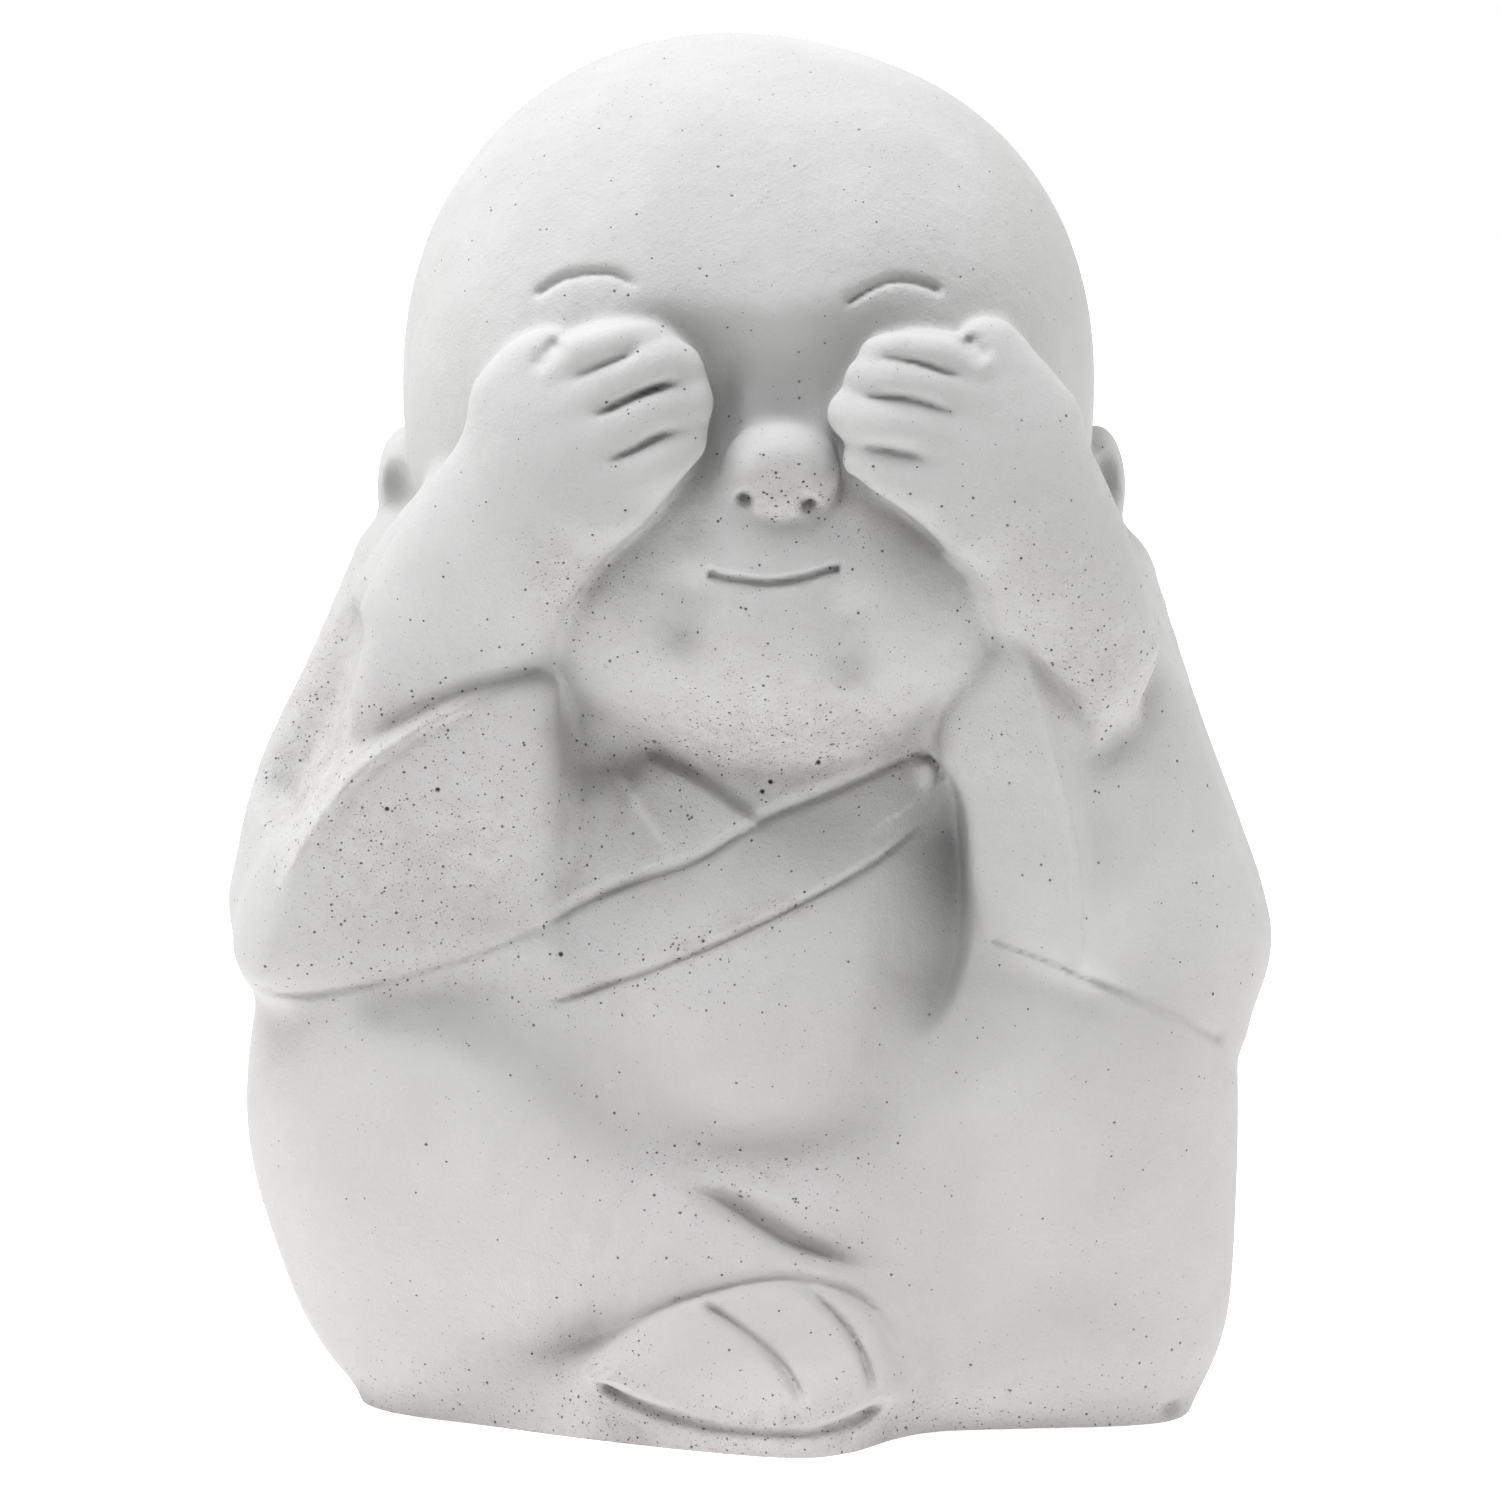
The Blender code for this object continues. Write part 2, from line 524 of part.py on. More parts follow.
# The back, plainer than the front: the neckband, the sash down from the shoulder, and folds below it
NECKBAND = ((-20, 52.5), (-12, 48.5), (0, 46.8), (12, 48.5), (20, 52.5))
SASH_TOP = ((26, 44), (14, 39), (0, 31), (-14, 23), (-26, 18))
SASH_FOOT = ((28, 35), (14, 30), (0, 22), (-14, 15), (-24, 11))
FOLDS = (((-16, 12), (-4, 17), (8, 20), (18, 26)), ((-8, 6), (4, 10), (14, 12), (24, 17)))
CARVING = (
    Groove(NECKBAND, 18, cut=0.5, left=0.4, right=0.8),
    Groove(SASH_TOP, 20, cut=0.5, left=0.9, right=0.35),
    Groove(SASH_FOOT, 20, cut=0.5, left=0.9, right=0.35),
    *(Groove(line, 20, cut=0.5, left=2, right=1.2, fade=0.4) for line in FOLDS),
    *(Groove(line, -22, cut=1.3, left=1.6, right=2, fade=0.4) for line in SMILE_LINES),
    *(Groove(line, -27, cut=0.9, left=0.5, right=0.5, fade=0.3) for line in NOSTRILS),
    Groove(HEM_LINE, -18, cut=1.1, left=1.2, right=0.6, fade=0.35),
    Groove(GAP_LINE, -16, cut=2, left=0.6, right=3.6, fade=0.3),
    Groove(ARM_LINE, -14, cut=0.8, left=1.4, right=1.3, fade=0.2),
    Groove(LEFT_HAND_EDGE, -20, cut=0.5, left=1, right=0.4, fade=0.3),
    Groove(RIGHT_HAND_EDGE, -20, cut=0.5, left=0.4, right=1, fade=0.3),
    Groove(DRAPE_LINE, -12, cut=3.4, left=1.2, right=2.4, fade=0.15),
    Groove(ELBOW_LINE, -18, cut=0.65, left=0.35, right=0.9, fade=0.3),
    Groove(ELBOW_FOOT, -18, cut=0.7, left=1.3, right=1.3, fade=0.35),
    Groove(CREST_VALLEY, -18, cut=0.8, left=2, right=0.8, fade=0.4),
    Groove(RIGHT_CREST, -18, cut=-0.6, left=0.6, right=0.4, fade=0.25),
    *(Groove(line, -27, cut=0.5, left=0.7, right=0.7, fade=0.3) for line in THUMB_NOTCHES),
    Ledge(MOUTH, -24, rise=0.45, width=0.3, reach=1.6, fade=0.2),
    Groove(MOUTH, -24, cut=0.9, left=0.3, right=0.35, fade=0.04),
    Groove(LEFT_BROW, -22, cut=0.6, left=0.4, right=0.18, fade=0.15),
    Groove(RIGHT_BROW, -22, cut=0.6, left=0.4, right=0.18, fade=0.1),
    Ledge(LAPEL_TOP, -16, rise=-0.6, width=0.35, reach=4),
    Groove(LAPEL_TOP[::-1], -16, cut=0.7, left=0.5, right=0.3),
    Ledge(LAPEL_FOOT, -18, rise=0.3, width=0.3, reach=5),
    Groove(LAPEL_FOOT, -18, cut=0.6, left=0.3, right=0.25),
    Ledge(COLLAR, -16, rise=0.7, width=0.4, reach=4),
    Groove(COLLAR[::-1], -16, cut=0.4, left=0.7, right=0.25),
    Ledge(INNER_FOLD, -16, rise=0.35, width=0.35, reach=2.5, fade=0.25),
    Groove(BLEMISH, -14, cut=-0.35, left=0.6, right=0.6, fade=0.2),
    Groove(BLEMISH_RIM, -14, cut=0.5, left=0.2, right=0.2, fade=0.2),
    Groove(RIM_CREVICE, -18, cut=0.5, left=0.8, right=0.4, fade=0.3),
    Groove(RIM_RIDGE, -18, cut=-0.8, left=0.55, right=0.5, fade=0.15),
    Groove(LEFT_CREASE, -16, cut=0.3, left=0.6, right=0.25, fade=0.05),
    Groove(RIGHT_CREASE, -16, cut=0.3, left=0.6, right=0.25, fade=0.05),
    Groove(FOOT_EDGE, -20, cut=0.75, left=0.5, right=0.4, fade=0.35),
    *(Groove(line, -23, cut=0.7, left=0.3, right=0.4) for line in TOES),
    Groove(SOLE, -23, cut=0.8, left=0.35, right=0.5, fade=0.1),
    *(Groove(line, -27, cut=cut, left=0.35, right=0.2, fade=0.3) for line, cut in FINGER_GAPS),
)
# A line is cut only on its own side of the figure, front or back, fading in over this depth
CARVING_BEGINS = 1
CARVING_FADE = 3


def smooth_curve(points, steps):
    """A Catmull-Rom curve through the points, with this many steps between each two."""
    points = np.asarray(points, float)
    ends = np.vstack([2 * points[0] - points[1], points, 2 * points[-1] - points[-2]])
    pieces = [ends[i : i + 4] for i in range(len(points) - 1)]
    curve = [catmull_rom(piece, step / steps) for piece in pieces for step in range(steps)]
    return np.array([*curve, points[-1]])


def closed_curve(points, steps):
    """The same kind of curve, closed."""
    points = np.asarray(points, float)
    around = np.vstack([points[-1:], points, points[:2]])
    pieces = [around[i : i + 4] for i in range(len(points))]
    return np.array([catmull_rom(piece, step / steps) for piece in pieces for step in range(steps)])


def catmull_rom(four, t):
    a, b, c, d = four
    slope = (c - a) * t
    bend = (2 * a - 5 * b + 4 * c - d) * t**2 + (3 * b - a - 3 * c + d) * t**3
    return b + (slope + bend) / 2


def join(a, b, blend):
    """Both forms as one, with the corner between them filled over the blend."""
    if not blend:
        return np.minimum(a, b)
    near = np.maximum(blend - np.abs(a - b), 0) / blend
    return np.minimum(a, b) - near * near * blend / 4


def overlap(a, b, blend):
    """What both forms share, with its corner rounded over the blend."""
    return -join(-a, -b, blend)


def ball_distance(p, form):
    parts = [np.abs(p[i] - form.middle[i]) / form.half[i] for i in range(3)]
    reach = sum(part**form.power for part in parts) ** (1 / form.power) + 1e-9
    spread = np.sqrt(sum((part / half) ** 2 for part, half in zip(parts, form.half))) + 1e-9
    return reach * (reach - 1) / spread


def limb_distance(p, form):
    """Round cones along a smooth route, flattened from front to back."""
    nodes = [(*seen(*place, depth), radius) for place, depth, radius in form.nodes]
    route = smooth_curve(nodes, 4)
    route[:, 1] /= form.flatness
    q = (p[0], p[1] / form.flatness, p[2])
    total = None
    for a, b in zip(route[:-1], route[1:]):
        along = b[:3] - a[:3]
        share = sum((q[i] - a[i]) * along[i] for i in range(3)) / along.dot(along)
        share = np.clip(share, 0, 1)
        gap = np.sqrt(sum((q[i] - a[i] - share * along[i]) ** 2 for i in range(3)))
        near = gap - (a[3] + (b[3] - a[3]) * share)
        total = near if total is None else np.minimum(total, near)
    return total * (1 + form.flatness) / 2


def outline_distance(x, z, outline):
    """Distance in a plane to a closed outline, below zero inside it."""
    nearest = np.float32(1e9)
    inside = False
    for a, b in zip(outline, np.roll(outline, -1, axis=0)):
        along = b - a
        gap_x, gap_z = x - a[0], z - a[1]
        share = np.clip((gap_x * along[0] + gap_z * along[1]) / along.dot(along), 0, 1)
        gap = (gap_x - share * along[0]) ** 2 + (gap_z - share * along[1]) ** 2
        nearest = np.minimum(nearest, gap)
        if along[1]:
            crosses = ((a[1] <= z) != (b[1] <= z)) & (gap_x < gap_z * along[0] / along[1])
            inside = inside ^ crosses
    return np.sqrt(nearest) * np.where(inside, -1, 1)


def line_distance(p, line, depth):
    """Distance to a line as the front view shows it, the share of the way along, and the side."""
    route = smooth_curve([seen(*place, depth) for place in line], 4)[:, (0, 2)]
    lengths = np.linalg.norm(np.diff(route, axis=0), axis=1)
    nearest, side, share_along, done = np.float32(1e9), np.float32(0), np.float32(0), 0.0
    for a, b, length in zip(route[:-1], route[1:], lengths):
        along = b - a
        gap_x, gap_z = p[0] - a[0], p[2] - a[1]
        share = np.clip((gap_x * along[0] + gap_z * along[1]) / along.dot(along), 0, 1)
        gap = (gap_x - share * along[0]) ** 2 + (gap_z - share * along[1]) ** 2
        closer = gap < nearest
        nearest = np.where(closer, gap, nearest)
        side = np.where(closer, along[0] * gap_z - along[1] * gap_x, side)
        share_along = np.where(closer, (done + length * share) / lengths.sum(), share_along)
        done += length
    return np.sqrt(nearest), share_along, side


def front_of(p, front, outline):
    """The depth of a cushion's front: a slope, or a ridge with its own slope on each side."""
    if isinstance(front, Slope):
        middle = outline.mean(axis=0)
        return front.depth + front.across * (p[0] - middle[0]) + front.up * (p[2] - middle[1])
    gap, _, side = line_distance(p, front.line, front.depth)
    gap = np.where(side > 0, gap, -gap)
    fall = (front.left + front.right) / 2 * (np.sqrt(gap**2 + front.bend**2) - front.bend)
    return front.depth + front.up * p[2] + fall + (front.left - front.right) / 2 * gap


def cushion_distance(p, form):
    """An outline as the front view shows it, with a front, a back and rounded edges."""
    outline = closed_curve([seen(*place, form.depth) for place in form.outline], 6)[:, (0, 2)]
    side = outline_distance(p[0], p[2], outline)
    face = np.maximum(front_of(p, form.front, outline) - p[1], p[1] - form.back)
    return overlap(side, face, form.edge)


def slice_distance(p, form):
    gap = [p[i] - form.middle[i] for i in range(3)]
    return gap[1] - form.across * gap[0] - form.up * gap[2]


def plate_distance(p, form):
    side = outline_distance(p[0], p[1], closed_curve(form.outline, 4))
    return overlap(side, p[2] - form.top, form.edge)


def group_distance(p, group):
    total = None
    for form in group.forms:
        near = DISTANCES[type(form)](p, form)
        if total is None:
            total = near
        elif getattr(form, "hollow", False):
            total = overlap(total, -near, form.blend)
        else:
            total = join(total, near, form.blend)
    return total


DISTANCES = {
    Ball: ball_distance,
    Limb: limb_distance,
    Cushion: cushion_distance,
    Plate: plate_distance,
    Slice: slice_distance,
    Group: group_distance,
}


def soft_step(value):
    value = np.clip(value, 0, 1)
    return value * value * (3 - 2 * value)


def carved(total, p, carving):
    """The forms with the carved lines cut or raised, each on its own side, front or back."""
    for mark in carving:
        nearer = -p[1] if mark.depth < 0 else p[1]
        facing = np.clip((nearer - CARVING_BEGINS) / CARVING_FADE, 0, 1)
        gap, along, side = line_distance(p, mark.line, mark.depth)
        strength = soft_step(np.minimum(along, 1 - along) / mark.fade) * facing
        if isinstance(mark, Groove):
            width = np.where(side > 0, mark.left, mark.right)
            total = total + mark.cut * np.exp(-((gap / width) ** 2)) * strength
        else:
            gap = np.where(side > 0, gap, -gap)
            rise = soft_step(gap / mark.width / 2 + 0.5) * np.exp(-np.maximum(gap, 0) / mark.reach)
            total = total - mark.rise * rise * strength
    return total


# The block of space that holds the figure, and how far its forms run on below the underside
GRID_LOW = (-42, -33, -3)
GRID_HIGH = (42, 29, 102)
# Faces of this size follow a carved line only if it is at least this wide on each side
LEAST_LINE = 0.85
# No point of the grid lies nearer the surface than this, so that no two of its corners meet
LEAST_DISTANCE = 0.02


# Six tetrahedra fill a cell of the grid. Corner numbers add 1, 2 and 4 for the far end of each axis.
TETRAHEDRA = [(0, 1 << a, 1 << a | 1 << b, 7) for a, b in itertools.permutations(range(3), 2)]
# The pairs of a tetrahedron's corners, inside ones first, whose edges a triangle's corners lie on
ONE_INSIDE = (((0, 1), (0, 2), (0, 3)),)
TWO_INSIDE = (((0, 2), (0, 3), (1, 3)), ((0, 2), (1, 3), (1, 2)))
THREE_INSIDE = (((0, 3), (1, 3), (2, 3)),)


def closed_surface(values, low, step):
    """The closed surface of triangles where a grid of distances passes through zero."""
    bits = np.array([[number >> axis & 1 for axis in range(3)] for number in range(8)])
    inside = values < 0
    full = np.zeros([size - 1 for size in values.shape], int)
    for row in bits:
        full += inside[tuple(slice(bit, bit + size) for bit, size in zip(row, full.shape))]
    places = np.argwhere((full > 0) & (full < 8))
    corners = np.ravel_multi_index(tuple(np.moveaxis(places[:, None] + bits, 2, 0)), values.shape)
    corners = corners[:, TETRAHEDRA].reshape(-1, 4)
    within = inside.ravel()[corners]
    order = np.argsort(~within, axis=1, kind="stable")
    corners = np.take_along_axis(corners, order, axis=1)
    count = within.sum(axis=1)
    ends, outward = [], []
    for number, triangles in ((1, ONE_INSIDE), (2, TWO_INSIDE), (3, THREE_INSIDE)):
        some = corners[count == number]
        spots = np.stack(np.unravel_index(some, values.shape), axis=-1)
        way_out = spots[:, number:].mean(axis=1) - spots[:, :number].mean(axis=1)
        for triangle in triangles:
            ends.append(some[:, triangle])
            outward.append(way_out)
    ends = np.sort(np.concatenate(ends), axis=2)
    keys, faces = np.unique(ends[..., 0] * values.size + ends[..., 1], return_inverse=True)
    start, end = keys // values.size, keys % values.size
    before, after = values.ravel()[start], values.ravel()[end]
    share = (before / (before - after))[:, None]
    start = np.stack(np.unravel_index(start, values.shape), axis=-1)
    end = np.stack(np.unravel_index(end, values.shape), axis=-1)
    points = start + share * (end - start)
    faces = faces.reshape(-1, 3)
    a, b, c = np.moveaxis(points[faces], 1, 0)
    turned = (np.cross(b - a, c - a) * np.concatenate(outward)).sum(axis=1) < 0
    faces[turned] = faces[turned][:, ::-1]
    return np.array(low) + step * points, faces


def widened(mark):
    if isinstance(mark, Ledge):
        return mark._replace(width=max(mark.width, LEAST_LINE))
    return mark._replace(left=max(mark.left, LEAST_LINE), right=max(mark.right, LEAST_LINE))


def figure_mesh():
    """The statue as a mesh, in hundredths of the height, running on below its underside."""
    axes = [
        np.arange(low, high, GRID_STEP, dtype=np.float32) for low, high in zip(GRID_LOW, GRID_HIGH)
    ]
    p = np.meshgrid(*axes, indexing="ij", sparse=True)
    values = carved(group_distance(p, FIGURE), p, [widened(mark) for mark in CARVING])
    values = np.maximum(values, GRID_LOW[2] + GRID_STEP - p[2])
    kept_off = np.where(values < 0, -LEAST_DISTANCE, LEAST_DISTANCE)
    values = np.where(np.abs(values) < LEAST_DISTANCE, kept_off, values)
    points, faces = closed_surface(values, GRID_LOW, GRID_STEP)
    mesh = bpy.data.meshes.new("statue")
    mesh.from_pydata(points.tolist(), [], faces.tolist())
    return mesh


def thinned(mesh):
    """The mesh with only the faces that its shape needs."""
    helper = bpy.data.objects.new("thinning", mesh)
    bpy.context.scene.collection.objects.link(helper)
    decimate = helper.modifiers.new("fewer faces", "DECIMATE")
    decimate.ratio = KEPT_FACES / len(mesh.polygons)
    graph = bpy.context.evaluated_depsgraph_get()
    result = bpy.data.meshes.new_from_object(helper.evaluated_get(graph))
    bpy.data.objects.remove(helper)
    return result


def cut_flat(mesh):
    """Cuts the forms off at the underside and closes them with one flat face."""
    shape = bmesh.new()
    shape.from_mesh(mesh)
    everything = [*shape.verts, *shape.edges, *shape.faces]
    cut = bmesh.ops.bisect_plane(
        shape, geom=everything, plane_co=(0, 0, 0), plane_no=(0, 0, -1), clear_outer=True
    )
    rim = [item for item in cut["geom_cut"] if isinstance(item, bmesh.types.BMEdge)]
    for vertex in {vertex for edge in rim for vertex in edge.verts}:
        vertex.co.z = 0
    bmesh.ops.holes_fill(shape, edges=rim)
    bmesh.ops.triangulate(shape, faces=shape.faces)
    bmesh.ops.recalc_face_normals(shape, faces=shape.faces)
    shape.to_mesh(mesh)
    shape.free()


def stood_up(mesh):
    """Brings the mesh to metres, with the middle of its box over the origin."""
    points = np.empty(len(mesh.vertices) * 3, np.float32)
    mesh.vertices.foreach_get("co", points)
    points = points.reshape(-1, 3)
    middle = (points.min(axis=0) + points.max(axis=0)) / 2
    points -= (middle[0], middle[1], 0)
    points *= HEIGHT / points[:, 2].max()
    mesh.vertices.foreach_set("co", points.ravel())
    mesh.update()


def concrete():
    material = bpy.data.materials.new("concrete")
    material.use_nodes = True
    shader = material.node_tree.nodes["Principled BSDF"]
    shader.inputs["Base Color"].default_value = CONCRETE_COLOUR
    shader.inputs["Roughness"].default_value = CONCRETE_ROUGHNESS
    shader.inputs["Metallic"].default_value = 0
    return material


def main():
    for existing in list(bpy.data.objects):
        bpy.data.objects.remove(existing)
    mesh = thinned(figure_mesh())
    cut_flat(mesh)
    stood_up(mesh)
    mesh.materials.append(concrete())
    mesh.shade_smooth()
    mesh.set_sharp_from_angle(angle=math.radians(50))
    statue = bpy.data.objects.new("statue", mesh)
    bpy.context.scene.collection.objects.link(statue)


main()
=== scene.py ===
"""The looks of a small cast concrete statue: a seated little monk who covers both eyes.

The finely detailed casting is made from the same forms as the solid model, and fills its box.
"""

import json
import math
from collections import namedtuple

import bmesh
import bpy
import numpy as np
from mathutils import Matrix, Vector
from mathutils.bvhtree import BVHTree
from mathutils.kdtree import KDTree

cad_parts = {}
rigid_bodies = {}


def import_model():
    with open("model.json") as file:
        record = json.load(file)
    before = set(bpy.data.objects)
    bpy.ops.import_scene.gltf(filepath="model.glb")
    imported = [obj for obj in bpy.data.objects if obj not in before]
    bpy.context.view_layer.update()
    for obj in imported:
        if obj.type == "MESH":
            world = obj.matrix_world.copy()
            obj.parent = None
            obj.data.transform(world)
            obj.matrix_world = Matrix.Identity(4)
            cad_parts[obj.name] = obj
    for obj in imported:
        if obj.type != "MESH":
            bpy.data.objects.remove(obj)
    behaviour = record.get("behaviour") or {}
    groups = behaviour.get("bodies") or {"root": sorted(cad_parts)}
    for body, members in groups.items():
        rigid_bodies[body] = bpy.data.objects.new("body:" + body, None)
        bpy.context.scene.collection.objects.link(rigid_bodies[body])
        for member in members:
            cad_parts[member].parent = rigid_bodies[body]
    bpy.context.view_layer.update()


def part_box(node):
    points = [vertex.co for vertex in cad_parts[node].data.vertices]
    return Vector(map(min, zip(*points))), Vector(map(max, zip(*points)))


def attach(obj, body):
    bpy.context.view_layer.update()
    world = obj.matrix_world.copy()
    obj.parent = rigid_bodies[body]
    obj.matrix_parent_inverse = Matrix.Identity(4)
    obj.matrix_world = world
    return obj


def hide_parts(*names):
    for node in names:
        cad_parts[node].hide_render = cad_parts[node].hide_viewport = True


# The picture: how many of its pixels a hundredth of the height takes, and its width
PIXELS_PER_UNIT = 13.7
PICTURE_WIDTH = 1500
SENSOR_WIDTH = 36

# Every place and size below is in hundredths of the height. X runs across to the viewer's right,
# Y away from the viewer, and Z up from the underside.
# Left and right are the viewer's, and a pair (across, up) is a place as the front view shows it.
VIEW_AIM = 47.9
VIEW_DISTANCE = 600
VIEW_ANGLE = math.radians(5)

Ball = namedtuple("Ball", "middle half blend power hollow", defaults=(2.0, 2.0, False))
Limb = namedtuple("Limb", "nodes blend flatness hollow", defaults=(2.0, 1.0, False))
Cushion = namedtuple("Cushion", "outline depth front back edge blend", defaults=(1.0,))
Slope = namedtuple("Slope", "depth across up")
Ridge = namedtuple("Ridge", "line depth up left right bend")
Plate = namedtuple("Plate", "outline top edge blend")
Slice = namedtuple("Slice", "middle across up blend hollow", defaults=(True,))
Group = namedtuple("Group", "forms blend")
Groove = namedtuple("Groove", "line depth cut left right fade", defaults=(0.12,))
Ledge = namedtuple("Ledge", "line depth rise width reach fade", defaults=(0.1,))


def seen(across, up, depth):
    """The point at this depth that the front view, from a little above, shows at (across, up)."""
    slant = (up - VIEW_AIM) / VIEW_DISTANCE
    away = (VIEW_DISTANCE + depth / math.cos(VIEW_ANGLE)) / (1 + slant * math.tan(VIEW_ANGLE))
    height = (slant * away - depth * math.sin(VIEW_ANGLE)) / math.cos(VIEW_ANGLE)
    return across * away / VIEW_DISTANCE, depth, VIEW_AIM + height


# Head: the skull, the jaw with its two cheeks, the eye hollows behind the hands, and the nose
SKULL = Ball((-0.1, 0, 74.6), (25.1, 24.4, 24.8), power=2.2)
CROWN = Ball((-2.2, 0, 84), (17, 19, 15.2), blend=3)
JAW = Ball(seen(2.1, 58.9, -8.5), (16.4, 15, 12), blend=6)
LEFT_CHEEK = Ball(seen(-8.9, 58.9, -14.5), (7, 7.2, 6.6), blend=4)
RIGHT_CHEEK = Ball(seen(12.8, 59.2, -14.5), (7, 7.2, 6.6), blend=4)
LEFT_SOCKET = Ball(seen(-5.3, 73.3, -26.2), (7.4, 4.8, 5.8), blend=3, hollow=True)
RIGHT_SOCKET = Ball(seen(9.6, 73.8, -26.2), (7.4, 4.8, 6), blend=3, hollow=True)
LEFT_CORNER = Ball(seen(-2, 72.2, -24.5), (1.7, 4.6, 4.2), blend=1.5, hollow=True)
RIGHT_CORNER = Ball(seen(6.7, 70.6, -24.5), (1.1, 3.6, 4.4), blend=1.2, hollow=True)
MUZZLE = Ball(seen(1.7, 59.8, -19.4), (7.8, 4.4, 5.6), blend=4)
BRIDGE_HOLLOW = Ball(seen(2.2, 73.6, -28), (6.5, 5.4, 4.2), blend=4, hollow=True)
NOSE_BALL = Ball(seen(2.2, 68.3, -22.4), (4.2, 4.6, 3.4))
NOSE_FRONT = Slice(seen(2.2, 67.1, -26.2), across=0.05, up=-0.28, blend=0.8)
NOSE = Group((NOSE_BALL, NOSE_FRONT), blend=0.7)
LEFT_EAR = Ball(seen(-25.2, 67.1, 4), (2, 4.5, 4.4), blend=0.8)
RIGHT_EAR = Ball(seen(25.3, 67.1, 4), (2.1, 4.5, 4.5), blend=0.8)
LEFT_EAR_HOLE = Ball(seen(-26, 66.6, 0.2), (1.3, 1.7, 2.2), blend=0.8, hollow=True)
RIGHT_EAR_HOLE = Ball(seen(26.1, 67.5, 0.2), (1.3, 1.7, 2.2), blend=0.8, hollow=True)
CHEEKS = (LEFT_CHEEK, RIGHT_CHEEK)
SOCKETS = (LEFT_SOCKET, RIGHT_SOCKET)
CORNERS = (LEFT_CORNER, RIGHT_CORNER)
FACE = (JAW, *CHEEKS, *SOCKETS, MUZZLE, BRIDGE_HOLLOW, *CORNERS, NOSE)
EARS = (LEFT_EAR, RIGHT_EAR, LEFT_EAR_HOLE, RIGHT_EAR_HOLE)
HEAD = Group((SKULL, CROWN, *FACE, *EARS), blend=1.2)

# Trunk: the robed back and shoulders, the chest and the belly
BACK = Ball((0, 5, 34), (25, 17, 33))
SHOULDERS = Ball((0, 5, 51), (27, 14.5, 13), blend=6)
NECK = Ball((0, -4, 55.5), (25, 10, 5), blend=2, power=3)
CHEST = Ball(seen(1.5, 44.3, -1.5), (17.5, 14, 15), power=2.4)
BELLY = Ball(seen(-0.1, 31.5, -4.5), (14, 14.8, 13.5), blend=6, power=2.2)
SLEEVE_GAP = Limb(
    (
        ((14.6, 45.9), -18, 1.4), ((15.2, 40.6), -19, 3.5), ((14.9, 34.8), -19, 4.2),
        ((13.5, 29.7), -18.5, 3.4), ((10.9, 26), -17, 1.2),
    ),
    blend=3,
    flatness=1.3,
    hollow=True,
)
LEFT_FOLD = Ball(seen(-12.2, 40.5, -8), (5, 7.5, 14), blend=3)
ARMPIT = Ball(seen(-9.8, 47.4, -17.5), (4.4, 4, 1.6), blend=2.4, hollow=True)
FRONT_OF_TRUNK = Group((CHEST, BELLY), blend=2)
TRUNK = Group((BACK, SHOULDERS, NECK, FRONT_OF_TRUNK, LEFT_FOLD, SLEEVE_GAP, ARMPIT), blend=2)

# Crossed legs under the robe, and the right thigh, whose hem lies over the shins
LEFT_LEG = Ball((-20.7, -1, 25), (15.3, 16, 26.5), power=2.25)
LEFT_SHIN = Limb(
    (
        ((-24.8, 21.8), -6, 9.6), ((-16.8, 17.1), -9.5, 9.2), ((-8, 12.5), -13.5, 6.8),
        ((-2.2, 10.1), -15.5, 5.2), ((3.6, 7.8), -16, 4.5),
    ),
    blend=6,
    flatness=0.9,
)
LAP = Ball(seen(0.7, 16.2, -3.6), (12.5, 12.6, 8.6), blend=4)
LAP_VALLEY = Limb(
    (
        ((-25.9, 29.7), -16, 1.5), ((-20.4, 29.5), -16.6, 2.7), ((-15, 27.5), -18, 3.2),
        ((-10.2, 23.1), -18.6, 2.3), ((-5.8, 19.5), -18, 1),
    ),
    blend=3,
    hollow=True,
)
SEAT = Ball((1.5, 5.5, 9), (27.5, 18.5, 22), blend=4, power=2.6)
RIGHT_LEG = Ball((17.6, -0.5, 20), (17.5, 14, 24), blend=3, power=3.2)
RIGHT_SHIN = Limb(
    (((24.1, 8.5), -6.5, 8.5), ((15.3, 6), -11.5, 6.5), ((5.8, 4.9), -14, 5)),
    blend=5,
    flatness=0.9,
)
RIGHT_KNEE = Ball(seen(23.7, 21.7, -4), (11, 14, 14.5), power=2.8)
HEM_OUTLINE = (
    (-6, 16.3), (-2.2, 14.9), (0.7, 13.4), (5.1, 11), (8.8, 9.5), (13.9, 9.1), (19, 10.4),
    (24.8, 13.6), (27, 18.7), (22.6, 23.8), (15.3, 23.1), (8, 19.5), (0.7, 17.3),
)
RIGHT_THIGH = Cushion(HEM_OUTLINE, -18, Slope(-18.2, 0.15, 0.1), back=-4, edge=6, blend=5)
LEGS = Group(
    (
        LEFT_LEG,
        LEFT_SHIN,
        LAP,
        LAP_VALLEY,
        SEAT,
        RIGHT_LEG,
        RIGHT_SHIN,
        Group((RIGHT_KNEE, RIGHT_THIGH), blend=2.6),
    ),
    blend=2,
)

# Flat underside: its corners as (across, depth), and how high the straight edge stands
FOOTPRINT = (
    (-28, 2.5), (-25, -6), (-12.5, -17), (1, -25), (6.5, -24), (10.5, -17.5), (15, -12),
    (27, -11.3), (31, -6), (31, 10), (24, 19), (0, 21.5), (-22, 18),
)
UNDERSIDE = Plate(FOOTPRINT, top=5.5, edge=3, blend=2.5)

CORNER_CHIP = Ball(seen(31.4, -0.5, -12), (1.5, 3, 0.8), blend=0.5, hollow=True)

